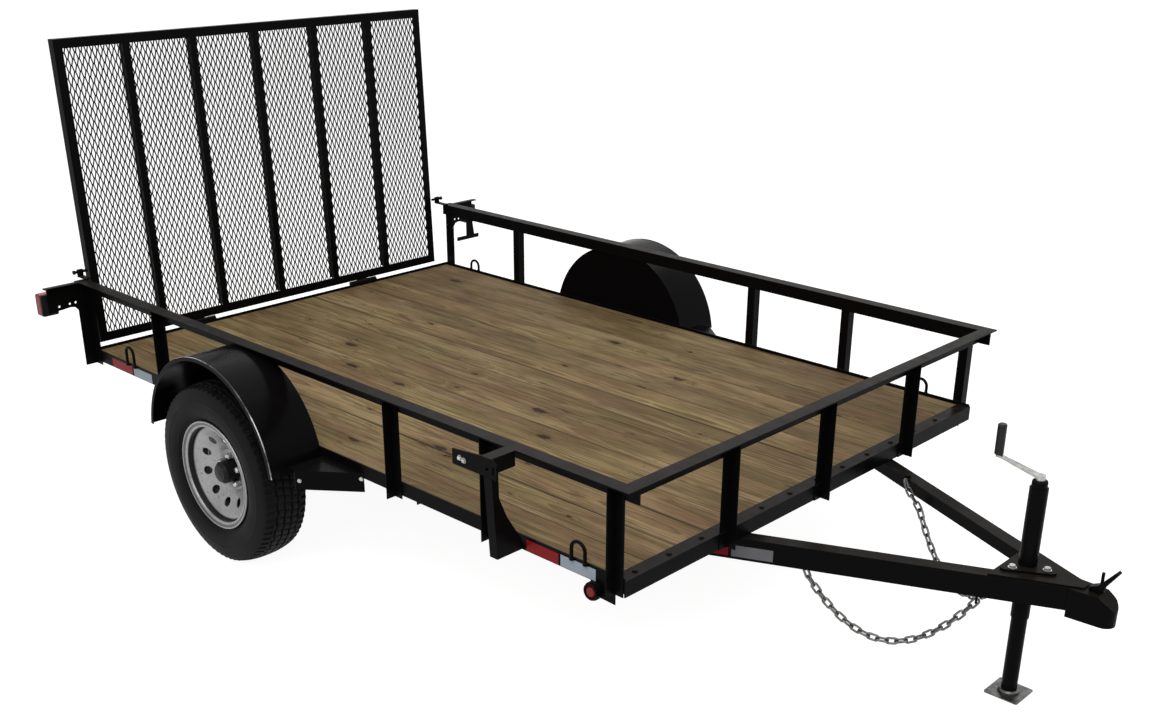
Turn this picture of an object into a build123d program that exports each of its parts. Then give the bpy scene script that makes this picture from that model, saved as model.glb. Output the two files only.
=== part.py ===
"""Single-axle utility trailer with a mesh ramp gate.

Millimetres. +X points to the tongue, +Y to the trailer's left, +Z up.
The floor is Z = 0, and X = 0 is halfway along the trailer.
"""

import os
from math import atan2, cos, degrees, hypot, radians, sin, tan

from build123d import *

os.makedirs("parts", exist_ok=True)

# ---- driving sizes ----------------------------------------------------------
LEG = 50.8            # leg of the rail and frame angle
WALL = 4.8            # its wall

RAIL_LENGTH = 3114.0
RAIL_HALF = 1052.0    # centreline to the outer edge of the rail's flange
RAIL_TOP = 812.0
RAIL_FRONT = 1113.43  # puts X = 0 halfway between the coupler's nose and the gate
RAIL_REAR = RAIL_FRONT - RAIL_LENGTH
SIDE_FACE = RAIL_HALF - LEG + WALL      # outer face of the side frames and rail webs

FRAME_BOTTOM = 458.0
FRAME_TOP = FRAME_BOTTOM + LEG
FRAME_FRONT = RAIL_FRONT - LEG      # bed side of the front frame
FRAME_REAR = RAIL_FRONT - 3099.0    # bed side of the rear frame

POST_LEG = 38.1
POST_WALL = 3.2
POST_BOTTOM = FRAME_BOTTOM - 12.0

BOARD_THICK = 34.0
BOARD_COUNT = 14
BOARD_GAP = 3.0
DECK_TOP = FRAME_BOTTOM + WALL + BOARD_THICK

AXLE_X = RAIL_FRONT - 1892.0
AXLE_Z = 345.0
TRACK_HALF = 1133.0
SPINDLE_RADIUS = 20.0
RUNNING_FIT = 0.06
TYRE_RADIUS = 345.0
TYRE_HALF_WIDTH = 97.0
RIM_EDGE_RADIUS = 208.5
BEAD_RADIUS = 191.0

FENDER_RADIUS = 395.0
FENDER_Z = 402.0
FENDER_OUTER = 1230.0
FENDER_SKIN = 2.5

SPRING_Y = SIDE_FACE - LEG / 2
SPRING_HALF = 320.0

TONGUE_TOP = FRAME_BOTTOM - 11.0
TONGUE_HEIGHT = 76.2
TONGUE_FLANGE = 50.8
TONGUE_WALL = 6.4
TONGUE_ANGLE = 24.5
TONGUE_APEX = RAIL_FRONT + 948.0        # where the members' outer faces would meet
TONGUE_FRONT = RAIL_FRONT + 890.0
TONGUE_REAR = RAIL_FRONT - 546.0
NOSE = RAIL_FRONT + 1004.0

JACK_X = RAIL_FRONT + 711.0
JACK_RADIUS = 28.5
JACK_LEG_RADIUS = 25.0
JACK_BORE = JACK_LEG_RADIUS + RUNNING_FIT
JACK_TRAVEL = 254.0
JACK_TOP = 712.0

GATE_HINGE_X = RAIL_FRONT - 3130.0
GATE_HINGE_Z = 505.0
GATE_LEAN = 2.3
GATE_HALF = 956.0
GATE_HEIGHT = 1257.0
GATE_LEG = 38.1
GATE_WALL = 4.0

SIDES = (("left", 1), ("right", -1))


def outline(*points):
    """Adds a straight-sided face to the open sketch."""
    Polygon(*points, align=None)


def save(part, name):
    """Labels a finished piece and writes its STEP file."""
    part.label = name
    export_step(part, f"parts/{name}.step")


# ---- side frames: the boards rest on the inward leg --------------------------
for side_name, side in SIDES:
    with BuildPart() as side_frame:
        with BuildSketch(Plane.YZ.offset(FRAME_REAR)):
            outline(
                (side * SIDE_FACE, FRAME_BOTTOM),
                (side * (SIDE_FACE - LEG), FRAME_BOTTOM),
                (side * (SIDE_FACE - LEG), FRAME_BOTTOM + WALL),
                (side * (SIDE_FACE - WALL), FRAME_BOTTOM + WALL),
                (side * (SIDE_FACE - WALL), FRAME_TOP),
                (side * SIDE_FACE, FRAME_TOP),
            )
        extrude(amount=FRAME_FRONT - FRAME_REAR)
    save(side_frame.part, f"side_frame_{side_name}")

# ---- end frames: the front one's top leg clamps the board ends ---------------
BAY_HALF = SIDE_FACE - WALL
CLAMP_TOP = DECK_TOP + WALL
with BuildPart() as front_frame:
    with BuildSketch(Plane.XZ):
        with Locations((FRAME_FRONT + WALL / 2, (TONGUE_TOP + CLAMP_TOP) / 2)):
            Rectangle(WALL, CLAMP_TOP - TONGUE_TOP)
    extrude(amount=SIDE_FACE, both=True)
    with BuildSketch(Plane.XZ):
        with Locations((FRAME_FRONT + WALL - LEG / 2, DECK_TOP + WALL / 2)):
            Rectangle(LEG, WALL)
    extrude(amount=BAY_HALF, both=True)
save(front_frame.part, "front_frame")

with BuildPart() as rear_frame:
    with BuildSketch(Plane.XZ):
        with Locations((FRAME_REAR - WALL / 2, (FRAME_BOTTOM + FRAME_TOP) / 2)):
            Rectangle(WALL, LEG)
    extrude(amount=SIDE_FACE, both=True)
    with BuildSketch(Plane.XZ):
        with Locations((FRAME_REAR + LEG / 2, FRAME_BOTTOM + WALL / 2)):
            Rectangle(LEG, WALL)
    extrude(amount=SIDE_FACE - LEG, both=True)
save(rear_frame.part, "rear_frame")

# ---- cross members: angle, top leg under the boards --------------------------
CROSS_SPACING = 490.0
CROSS_COUNT = 5
CROSS_FIRST = TONGUE_REAR - WALL
with BuildPart() as cross_members:
    for index in range(CROSS_COUNT):
        web = CROSS_FIRST - index * CROSS_SPACING
        with BuildSketch(Plane.XZ):
            outline(
                (web, FRAME_BOTTOM + WALL),
                (web - LEG, FRAME_BOTTOM + WALL),
                (web - LEG, FRAME_BOTTOM),
                (web - WALL, FRAME_BOTTOM),
                (web - WALL, FRAME_BOTTOM + WALL - LEG),
                (web, FRAME_BOTTOM + WALL - LEG),
            )
        extrude(amount=SIDE_FACE - LEG, both=True)
save(cross_members.part, "cross_members")

# ---- deck: boards laid lengthwise ----------------------------------------------
BOARD_PITCH = (2 * BAY_HALF - BOARD_GAP) / BOARD_COUNT
BOARD_LENGTH = FRAME_FRONT - FRAME_REAR
with BuildPart() as deck_boards:
    with Locations(((FRAME_FRONT + FRAME_REAR) / 2, 0, DECK_TOP - BOARD_THICK / 2)):
        with GridLocations(BOARD_LENGTH, BOARD_PITCH, 1, BOARD_COUNT):
            Box(BOARD_LENGTH, BOARD_PITCH - BOARD_GAP, BOARD_THICK)
save(deck_boards.part, "deck_boards")

# ---- posts: angle, one leg on the frame, the other standing out -----------------
POST_TOP = RAIL_TOP - WALL
CORNER_LEG = 50.8
# rear edge of each post, back from the rail's front edge: right side, left side, leg
SIDE_POSTS = (
    (91.0, 124.0, POST_LEG),
    (625.0, 664.0, POST_LEG),
    (1095.0, 1141.0, POST_LEG),
    (2528.0, 2595.0, POST_LEG),
    (3099.0, 3099.0, CORNER_LEG),
)
FRONT_POSTS = (-566.0, -46.0, 484.0)    # right-hand edge of each
with BuildPart() as posts:
    with BuildSketch(Plane.XY.offset(POST_BOTTOM)):
        for right_back, left_back, leg in SIDE_POSTS:
            for back, side in ((right_back, -1), (left_back, 1)):
                face = side * SIDE_FACE
                # the leg that stands out is the rear one, but the front one on the left
                rear = RAIL_FRONT - back
                front_out = side > 0 and leg == POST_LEG
                edge, step = (rear + leg, -1) if front_out else (rear, 1)
                outline(
                    (edge, face),
                    (edge + step * leg, face),
                    (edge + step * leg, face + side * POST_WALL),
                    (edge + step * POST_WALL, face + side * POST_WALL),
                    (edge + step * POST_WALL, face + side * leg),
                    (edge, face + side * leg),
                )
        face = FRAME_FRONT + WALL
        for edge in FRONT_POSTS:
            outline(
                (face, edge),
                (face, edge + POST_LEG),
                (face + POST_LEG, edge + POST_LEG),
                (face + POST_LEG, edge + POST_LEG - POST_WALL),
                (face + POST_WALL, edge + POST_LEG - POST_WALL),
                (face + POST_WALL, edge),
            )
    extrude(amount=POST_TOP - POST_BOTTOM)
save(posts.part, "posts")

# ---- top rails: flange outward on top, web on the bed side ----------------------
with BuildPart() as side_rails:
    with BuildSketch(Plane.YZ.offset(RAIL_REAR)):
        for _, side in SIDES:
            outline(
                (side * RAIL_HALF, RAIL_TOP),
                (side * (RAIL_HALF - LEG), RAIL_TOP),
                (side * (RAIL_HALF - LEG), RAIL_TOP - LEG),
                (side * SIDE_FACE, RAIL_TOP - LEG),
                (side * SIDE_FACE, POST_TOP),
                (side * RAIL_HALF, POST_TOP),
            )
    extrude(amount=RAIL_LENGTH)
save(side_rails.part, "side_rails")

with BuildPart() as front_rail:
    with BuildSketch(Plane.XZ):
        outline(
            (RAIL_FRONT, RAIL_TOP),
            (FRAME_FRONT, RAIL_TOP),
            (FRAME_FRONT, RAIL_TOP - LEG),
            (FRAME_FRONT + WALL, RAIL_TOP - LEG),
            (FRAME_FRONT + WALL, POST_TOP),
            (RAIL_FRONT, POST_TOP),
        )
    extrude(amount=RAIL_HALF - LEG, both=True)
save(front_rail.part, "front_rail")

# ---- tongue: two angles under the frame, tall leg outside, short leg on top ----------
TONGUE_SLOPE = tan(radians(TONGUE_ANGLE))
TONGUE_BOTTOM = TONGUE_TOP - TONGUE_HEIGHT
CENTRE_GAP = 0.5      # from the centreline to each top leg where the members meet


def tongue_edge(x, inset=0.0):
    """Y of the left member's outer face at x, moved in square to the member."""
    return (TONGUE_APEX - x) * TONGUE_SLOPE - inset / cos(radians(TONGUE_ANGLE))


legs_meet = TONGUE_APEX - (CENTRE_GAP + TONGUE_FLANGE / cos(radians(TONGUE_ANGLE))) / TONGUE_SLOPE
for side_name, side in SIDES:
    with BuildPart() as tongue:
        with BuildSketch(Plane.XY.offset(TONGUE_BOTTOM)):
            outline(
                (TONGUE_REAR, side * tongue_edge(TONGUE_REAR)),
                (TONGUE_FRONT, side * tongue_edge(TONGUE_FRONT)),
                (TONGUE_FRONT, side * tongue_edge(TONGUE_FRONT, TONGUE_WALL)),
                (TONGUE_REAR, side * tongue_edge(TONGUE_REAR, TONGUE_WALL)),
            )
        extrude(amount=TONGUE_HEIGHT)
        with BuildSketch(Plane.XY.offset(TONGUE_TOP - TONGUE_WALL)):
            outline(
                (TONGUE_REAR, side * tongue_edge(TONGUE_REAR)),
                (TONGUE_FRONT, side * tongue_edge(TONGUE_FRONT)),
                (TONGUE_FRONT, side * CENTRE_GAP),
                (legs_meet, side * CENTRE_GAP),
                (TONGUE_REAR, side * tongue_edge(TONGUE_REAR, TONGUE_FLANGE)),
            )
        extrude(amount=TONGUE_WALL)
    save(tongue.part, f"tongue_{side_name}")

# ---- tongue plate: closes the A and carries the jack -----------------------------
PLATE_THICK = 6.0
PLATE_REAR = RAIL_FRONT + 648.0
PLATE_FRONT = RAIL_FRONT + 902.0
PLATE_INSET = 4.0
PLATE_TOP = TONGUE_TOP + PLATE_THICK
with BuildPart() as tongue_plate:
    with BuildSketch(Plane.XY.offset(TONGUE_TOP)):
        outline(
            (PLATE_REAR, tongue_edge(PLATE_REAR, PLATE_INSET)),
            (PLATE_FRONT, tongue_edge(PLATE_FRONT, PLATE_INSET)),
            (PLATE_FRONT, -tongue_edge(PLATE_FRONT, PLATE_INSET)),
            (PLATE_REAR, -tongue_edge(PLATE_REAR, PLATE_INSET)),
        )
        with Locations((JACK_X, 0)):
            Circle(JACK_RADIUS, mode=Mode.SUBTRACT)
    extrude(amount=PLATE_THICK)
save(tongue_plate.part, "tongue_plate")

# ---- coupler: pressed housing, ball socket open from below ------------------------
DOME_RADIUS = 36.0
BALL_X = NOSE - DOME_RADIUS
BALL_RADIUS = 25.4
SOCKET_RADIUS = BALL_RADIUS + 0.8
COUPLER_REAR = RAIL_FRONT + 866.0
COUPLER_BOTTOM = 352.0
COUPLER_SHOULDER = BALL_X - 14.0        # where the flat top starts down to the nose
NOSE_TOP = 404.0
SOCKET_Z = COUPLER_BOTTOM + 24.0
CHEEK_WALL = 5.0
with BuildPart() as coupler:
    with BuildSketch(Plane.XY.offset(COUPLER_BOTTOM)):
        with Locations((BALL_X, 0)):
            Circle(DOME_RADIUS)
        outline(
            (BALL_X, DOME_RADIUS),
            (COUPLER_REAR, tongue_edge(COUPLER_REAR, -CHEEK_WALL)),
            (COUPLER_REAR, -tongue_edge(COUPLER_REAR, -CHEEK_WALL)),
            (BALL_X, -DOME_RADIUS),
        )
    extrude(amount=TONGUE_TOP - COUPLER_BOTTOM)
    with BuildSketch(Plane.XZ):
        outline(
            (COUPLER_SHOULDER, TONGUE_TOP),
            (BALL_X + 18, NOSE_TOP + 22),
            (NOSE, NOSE_TOP),
            (NOSE + DOME_RADIUS, NOSE_TOP),
            (NOSE + DOME_RADIUS, TONGUE_TOP + WALL),
            (COUPLER_SHOULDER, TONGUE_TOP + WALL),
        )
    extrude(amount=2 * DOME_RADIUS, both=True, mode=Mode.SUBTRACT)
    with Locations((BALL_X, 0, SOCKET_Z)):
        Sphere(SOCKET_RADIUS, mode=Mode.SUBTRACT)
    with Locations((BALL_X, 0, COUPLER_BOTTOM - 1)):
        Cylinder(
            SOCKET_RADIUS, SOCKET_Z - COUPLER_BOTTOM + 1, mode=Mode.SUBTRACT,
            align=(Align.CENTER, Align.CENTER, Align.MIN),
        )
    with BuildSketch(Plane.XY.offset(COUPLER_BOTTOM)):
        outline(
            (COUPLER_REAR, tongue_edge(COUPLER_REAR)),
            (TONGUE_FRONT, tongue_edge(TONGUE_FRONT)),
            (TONGUE_FRONT, -tongue_edge(TONGUE_FRONT)),
            (COUPLER_REAR, -tongue_edge(COUPLER_REAR)),
        )
    extrude(amount=TONGUE_TOP - COUPLER_BOTTOM, mode=Mode.SUBTRACT)
save(coupler.part, "coupler")

# ---- coupler latch: foot, raised lever and its locking pin --------------------------
LATCH_X = RAIL_FRONT + 928.0
LATCH_HALF = 13.0
with BuildPart() as coupler_latch:
    with BuildSketch(Plane.XZ):
        outline(
            (LATCH_X - 14, TONGUE_TOP),
            (LATCH_X + 20, TONGUE_TOP),
            (LATCH_X + 30, TONGUE_TOP + 22),
            (LATCH_X + 66, TONGUE_TOP + 78),
            (LATCH_X + 58, TONGUE_TOP + 84),
            (LATCH_X + 12, TONGUE_TOP + 26),
            (LATCH_X - 14, TONGUE_TOP + 14),
        )
    extrude(amount=LATCH_HALF, both=True)
    with Locations((LATCH_X + 17, 0, TONGUE_TOP)):
        Cylinder(5.0, 66, align=(Align.CENTER, Align.CENTER, Align.MIN))
save(coupler_latch.part, "coupler_latch")

# ---- tongue jack: outer tube, three-cornered flange bolted to the plate ---------------
JACK_TUBE_BOTTOM = 276.0
FLANGE_THICK = 7.0
FLANGE_REACH = 112.0
FLANGE_ROUND = 18.0
CAP_RADIUS = 24.0
CAP_HEIGHT = 30.0
with BuildPart() as jack_tube:
    with BuildSketch(Plane.XY.offset(JACK_TUBE_BOTTOM)):
        with Locations((JACK_X, 0)):
            Circle(JACK_RADIUS)
            Circle(JACK_BORE, mode=Mode.SUBTRACT)
    extrude(amount=JACK_TOP - JACK_TUBE_BOTTOM)
    with BuildSketch(Plane.XY.offset(PLATE_TOP)):
        with Locations((JACK_X, 0)):
            RegularPolygon(FLANGE_REACH, 3)
        fillet(vertices(), radius=FLANGE_ROUND)
        with Locations((JACK_X, 0)):
            Circle(JACK_RADIUS - 0.5, mode=Mode.SUBTRACT)
    extrude(amount=FLANGE_THICK)
    with BuildSketch(Plane.XY.offset(JACK_TOP)):
        with Locations((JACK_X, 0)):
            Circle(JACK_RADIUS)
    extrude(amount=4)
    with BuildSketch(Plane.XY.offset(JACK_TOP)):
        with Locations((JACK_X, 0)):
            Circle(CAP_RADIUS)
    extrude(amount=CAP_HEIGHT)
    fillet(jack_tube.edges().group_by(Axis.Z)[-1], radius=9)
save(jack_tube.part, "jack_tube")

# ---- jack crank: boss on the screw's head, tapered arm, upright handle -----------------
CRANK_REACH = 142.0
CRANK_RISE = 26.0
CRANK_THICK = 7.0
BOSS_RADIUS = 15.0
BOSS_BASE = JACK_TOP + CAP_HEIGHT
BOSS_TOP = BOSS_BASE + 14.0
HANDLE_RADIUS = 6.0
HANDLE_END = 8.0      # half width of the arm at the handle
HANDLE_X = JACK_X - CRANK_REACH
HANDLE_Z = BOSS_TOP + CRANK_RISE
HANDLE_LENGTH = 98.0
with BuildPart() as jack_crank:
    with Locations((JACK_X, 0, BOSS_BASE)):
        Cylinder(BOSS_RADIUS, BOSS_TOP - BOSS_BASE, align=(Align.CENTER, Align.CENTER, Align.MIN))
    with BuildSketch(Plane.XZ):
        outline(
            (JACK_X + BOSS_RADIUS, BOSS_TOP - CRANK_THICK),
            (JACK_X + BOSS_RADIUS, BOSS_TOP),
            (JACK_X - BOSS_RADIUS, BOSS_TOP),
            (HANDLE_X + HANDLE_END, HANDLE_Z),
            (HANDLE_X - HANDLE_END, HANDLE_Z),
            (HANDLE_X - HANDLE_END, HANDLE_Z - CRANK_THICK),
            (HANDLE_X + HANDLE_END, HANDLE_Z - CRANK_THICK),
            (JACK_X - BOSS_RADIUS, BOSS_TOP - CRANK_THICK),
        )
    extrude(amount=BOSS_RADIUS, both=True)
    with BuildSketch(Plane.XY.offset(BOSS_BASE)):
        outline(
            (JACK_X, BOSS_RADIUS),
            (HANDLE_X, HANDLE_END),
            (HANDLE_X, -HANDLE_END),
            (JACK_X, -BOSS_RADIUS),
        )
        with Locations((JACK_X, 0)):
            Circle(BOSS_RADIUS)
        with Locations((HANDLE_X, 0)):
            Circle(HANDLE_END)
    extrude(amount=HANDLE_Z - BOSS_BASE, mode=Mode.INTERSECT)
    with Locations((HANDLE_X, 0, HANDLE_Z)):
        Cylinder(HANDLE_RADIUS, HANDLE_LENGTH, align=(Align.CENTER, Align.CENTER, Align.MIN))
save(jack_crank.part, "jack_crank")

GRIP_RADIUS = 14.0
GRIP_LENGTH = 100.0
with BuildPart() as jack_grip:
    with Locations((HANDLE_X, 0, HANDLE_Z)):
        Cylinder(GRIP_RADIUS, GRIP_LENGTH, align=(Align.CENTER, Align.CENTER, Align.MIN))
    with Locations((HANDLE_X, 0, HANDLE_Z)):
        Cylinder(
            HANDLE_RADIUS, HANDLE_LENGTH, mode=Mode.SUBTRACT,
            align=(Align.CENTER, Align.CENTER, Align.MIN),
        )
    chamfer(jack_grip.edges().filter_by(GeomType.CIRCLE).sort_by(SortBy.RADIUS)[-2:], 3)
save(jack_grip.part, "jack_grip")

# ---- jack leg: slides in the tube, flanged foot on the floor ---------------------------
FOOT_HALF = 58.0
FOOT_THICK = 4.0
COLLAR_HEIGHT = 12.0
LEG_TOP = JACK_TOP - JACK_TRAVEL - 6.0
with BuildPart() as jack_leg:
    with BuildSketch(Plane.XY.offset(FOOT_THICK)):
        with Locations((JACK_X, 0)):
            Circle(JACK_LEG_RADIUS)
            Circle(JACK_LEG_RADIUS - 4, mode=Mode.SUBTRACT)
    extrude(amount=LEG_TOP - FOOT_THICK)
save(jack_leg.part, "jack_leg")

with BuildPart() as jack_foot:
    with BuildSketch():
        with Locations((JACK_X, 0)):
            RectangleRounded(2 * FOOT_HALF, 2 * FOOT_HALF, 8)
    extrude(amount=FOOT_THICK)
    with BuildSketch(Plane.XY.offset(FOOT_THICK)):
        with Locations((JACK_X, 0)):
            Circle(JACK_LEG_RADIUS + 9)
            Circle(JACK_LEG_RADIUS, mode=Mode.SUBTRACT)
    extrude(amount=COLLAR_HEIGHT)
    chamfer(jack_foot.edges().group_by(Axis.Z)[-1].filter_by(GeomType.CIRCLE).sort_by(SortBy.RADIUS)[-1], 5)
save(jack_foot.part, "jack_foot")

# ---- axle: straight tube with spindles and spring seats -----------------------------
AXLE_RADIUS = 30.0
SPINDLE_START = TRACK_HALF - 84.0
SPINDLE_END = TRACK_HALF + 34.0
SEAT_HEIGHT = 9.0
SEAT_HALF = 32.0
SEAT_WIDTH = 44.0
SEAT_TOP = AXLE_Z + AXLE_RADIUS + SEAT_HEIGHT
with BuildPart() as axle:
    with BuildSketch(Plane.XZ):
        with Locations((AXLE_X, AXLE_Z)):
            Circle(AXLE_RADIUS)
    extrude(amount=SPINDLE_START, both=True)
    with BuildSketch(Plane.XZ):
        with Locations((AXLE_X, AXLE_Z)):
            Circle(SPINDLE_RADIUS)
    extrude(amount=SPINDLE_END, both=True)
    for _, side in SIDES:
        with Locations((AXLE_X, side * SPRING_Y, AXLE_Z)):
            Box(
                2 * SEAT_HALF, SEAT_WIDTH, AXLE_RADIUS + SEAT_HEIGHT,
                align=(Align.CENTER, Align.CENTER, Align.MIN),
            )
save(axle.part, "axle")

# ---- leaf springs: leaves stacked under the main leaf's two eyes ----------------------
LEAF_THICK = 6.0
LEAF_WIDTH = 40.0
LEAF_SHARES = (1.0, 0.78, 0.56, 0.34)      # half length of each leaf, from the main leaf down
PACK_HEIGHT = LEAF_THICK * len(LEAF_SHARES)
EYE_BORE = 8.0
EYE_RADIUS = EYE_BORE + LEAF_THICK
EYE_Z = SEAT_TOP + PACK_HEIGHT + 30.0
SPRING_RISE = EYE_Z + EYE_RADIUS - LEAF_THICK - (SEAT_TOP + PACK_HEIGHT - LEAF_THICK)
SPRING_ARC = (SPRING_HALF**2 + SPRING_RISE**2) / (2 * SPRING_RISE)
SPRING_CENTRE_Z = SEAT_TOP + PACK_HEIGHT + SPRING_ARC
with BuildPart() as springs:
    with BuildSketch(Plane.XZ.offset(-SPRING_Y)) as leaf_outline:
        for number, share in enumerate(LEAF_SHARES):
            upper = SPRING_ARC + number * LEAF_THICK
            lower = upper + LEAF_THICK
            swing = degrees(atan2(share * SPRING_HALF, SPRING_ARC))
            with BuildLine():
                top_arc = CenterArc((AXLE_X, SPRING_CENTRE_Z), upper, 270 - swing, 2 * swing)
                low_arc = CenterArc((AXLE_X, SPRING_CENTRE_Z), lower, 270 - swing, 2 * swing)
                Line(top_arc @ 0, low_arc @ 0)
                Line(top_arc @ 1, low_arc @ 1)
            make_face()
        with Locations((AXLE_X - SPRING_HALF, EYE_Z), (AXLE_X + SPRING_HALF, EYE_Z)):
            Circle(EYE_RADIUS)
        with Locations((AXLE_X - SPRING_HALF, EYE_Z), (AXLE_X + SPRING_HALF, EYE_Z)):
            Circle(EYE_BORE, mode=Mode.SUBTRACT)
    extrude(amount=LEAF_WIDTH / 2, both=True)
    mirror(about=Plane.XZ)
save(springs.part, "springs")

# ---- spring hangers: cheeks under the side frame, a bolt through each eye -------------
CHEEK_THICK = 4.0
CHEEK_GAP = LEAF_WIDTH + 1.0
with BuildPart() as spring_hangers:
    for _, side in SIDES:
        for end in (-1, 1):
            eye_x = AXLE_X + end * SPRING_HALF
            for cheek in (-1, 1):
                middle = side * SPRING_Y + cheek * (CHEEK_GAP + CHEEK_THICK) / 2
                with BuildSketch(Plane.XZ.offset(-middle)):
                    outline(
                        (eye_x - 32, FRAME_BOTTOM),
                        (eye_x + 32, FRAME_BOTTOM),
                        (eye_x + 15, EYE_Z - 18),
                        (eye_x - 15, EYE_Z - 18),
                    )
                extrude(amount=CHEEK_THICK / 2, both=True)
            with BuildSketch(Plane.XZ.offset(-side * SPRING_Y)):
                with Locations((eye_x, EYE_Z)):
                    RegularPolygon(EYE_BORE - 0.3, 8)
            extrude(amount=LEG / 2, both=True)
save(spring_hangers.part, "spring_hangers")

# ---- U-bolts and tie plates: clamp the springs to the axle ---------------------------
UBOLT_RADIUS = 6.0
UBOLT_BEND = AXLE_RADIUS + UBOLT_RADIUS
TIE_PLATE_HALF = 50.0
# the main leaf curves up by this much at the plate's ends
LEAF_RISE = SPRING_ARC - (SPRING_ARC**2 - TIE_PLATE_HALF**2) ** 0.5
PLATE_Z = SEAT_TOP + PACK_HEIGHT + LEAF_RISE + 0.1
BOLT_TOP = PLATE_Z + 26.0
with BuildPart() as axle_clamps:
    for _, side in SIDES:
        with Locations((AXLE_X, side * SPRING_Y, PLATE_Z)):
            Box(2 * TIE_PLATE_HALF, 82, 8, align=(Align.CENTER, Align.CENTER, Align.MIN))
        for across in (-1, 1):
            bolt_y = side * SPRING_Y + across * (LEAF_WIDTH / 2 + UBOLT_RADIUS + 1)
            with BuildLine(Plane.XZ.offset(-bolt_y)) as bolt_path:
                Line((AXLE_X - UBOLT_BEND, BOLT_TOP), (AXLE_X - UBOLT_BEND, AXLE_Z))
                CenterArc((AXLE_X, AXLE_Z), UBOLT_BEND, 180, 180)
                Line((AXLE_X + UBOLT_BEND, AXLE_Z), (AXLE_X + UBOLT_BEND, BOLT_TOP))
            with BuildSketch(Plane((AXLE_X - UBOLT_BEND, bolt_y, BOLT_TOP), z_dir=(0, 0, -1))):
                RegularPolygon(UBOLT_RADIUS, 8)
            sweep(path=bolt_path.wire())
save(axle_clamps.part, "axle_clamps")

# ---- wheels: hub with studs, pressed steel rim, tyre and cap --------------------------
STUD_COUNT = 5
STUD_CIRCLE = 57.15
HUB_FACE = 0.0
HAND_HOLES = 10
HAND_HOLE_CIRCLE = 126.0
for side_name, side in SIDES:
    # local X runs outward along the axle, local Y is the radius
    profile_plane = Plane((AXLE_X, side * TRACK_HALF, AXLE_Z), x_dir=(0, side, 0), z_dir=(side, 0, 0))
    face_plane = Plane((AXLE_X, side * TRACK_HALF, AXLE_Z), x_dir=(1, 0, 0), z_dir=(0, side, 0))
    spin_axis = Axis((AXLE_X, 0, AXLE_Z), (0, side, 0))

    with BuildPart() as hub:
        with BuildSketch(profile_plane):
            outline(
                (-80, SPINDLE_RADIUS + RUNNING_FIT),
                (-80, 36),
                (-16, 36),
                (-10, 72),
                (HUB_FACE, 72),
                (HUB_FACE, 36.5),
                (44, 32),
                (46, 0),
                (38, 0),
                (38, SPINDLE_RADIUS + RUNNING_FIT),
            )
        revolve(axis=spin_axis)
        with BuildSketch(face_plane):
            with PolarLocations(STUD_CIRCLE, STUD_COUNT, start_angle=90):
                RegularPolygon(6.3, 8)
        extrude(amount=26)
        with BuildSketch(face_plane.offset(4.0)):
            with PolarLocations(STUD_CIRCLE, STUD_COUNT, start_angle=90):
                RegularPolygon(11.0, 6)
        extrude(amount=16)
    save(hub.part, f"hub_{side_name}")

    with BuildPart() as rim:
        with BuildSketch(profile_plane):
            outline(
                (-83, RIM_EDGE_RADIUS),
                (-79, RIM_EDGE_RADIUS),
                (-75, BEAD_RADIUS),
                (-38, 169),
                (-2, 169),
                (14, BEAD_RADIUS - 1),
                (75, BEAD_RADIUS),
                (79, RIM_EDGE_RADIUS - 3),
                (84, RIM_EDGE_RADIUS),
                (87, RIM_EDGE_RADIUS - 3),
                (83, RIM_EDGE_RADIUS - 5),
                (79, BEAD_RADIUS - 4),
                (24, BEAD_RADIUS - 5),
                (42, 164),
                (46, 152),
                (44, 143),
                (16, 92),
                (4, 80),
                (4, 41),
                (0, 41),
                (0, 80),
                (38, 145),
                (38, 161),
                (16, BEAD_RADIUS - 6),
                (2, 165),
                (-41, 165),
                (-79, BEAD_RADIUS - 4),
            )
        revolve(axis=spin_axis)
        with BuildSketch(face_plane.offset(-2)):
            with PolarLocations(HAND_HOLE_CIRCLE, HAND_HOLES, start_angle=18):
                SlotOverall(28, 18, rotation=90)
            with PolarLocations(STUD_CIRCLE, STUD_COUNT, start_angle=90):
                Circle(6.4)
        extrude(amount=50, mode=Mode.SUBTRACT)
    save(rim.part, f"rim_{side_name}")

    with BuildPart() as tyre:
        with BuildSketch(profile_plane):
            with BuildLine():
                Polyline(
                    (-78.5, 210.5), (-74, 191.5), (-62, 191.5), (-88, 262), (-70, 331),
                    (70, 331), (88, 262), (62, 191.5), (74, 191.5), (78.5, 210.5),
                )
                ThreePointArc((78.5, 210.5), (TYRE_HALF_WIDTH, 264), (84, 334))
                Line((84, 334), (70, TYRE_RADIUS - 1.5))
                ThreePointArc((70, TYRE_RADIUS - 1.5), (0, TYRE_RADIUS), (-70, TYRE_RADIUS - 1.5))
                Line((-70, TYRE_RADIUS - 1.5), (-84, 334))
                ThreePointArc((-84, 334), (-TYRE_HALF_WIDTH, 264), (-78.5, 210.5))
            make_face()
        revolve(axis=spin_axis)
    save(tyre.part, f"tyre_{side_name}")

    with BuildPart() as hub_cap:
        with BuildSketch(profile_plane):
            outline((4.2, 40), (8, 44), (50, 42), (62, 32), (66, 0), (60, 0), (57, 30), (47, 38), (4.2, 38))
        revolve(axis=spin_axis)
    save(hub_cap.part, f"hub_cap_{side_name}")

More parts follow.
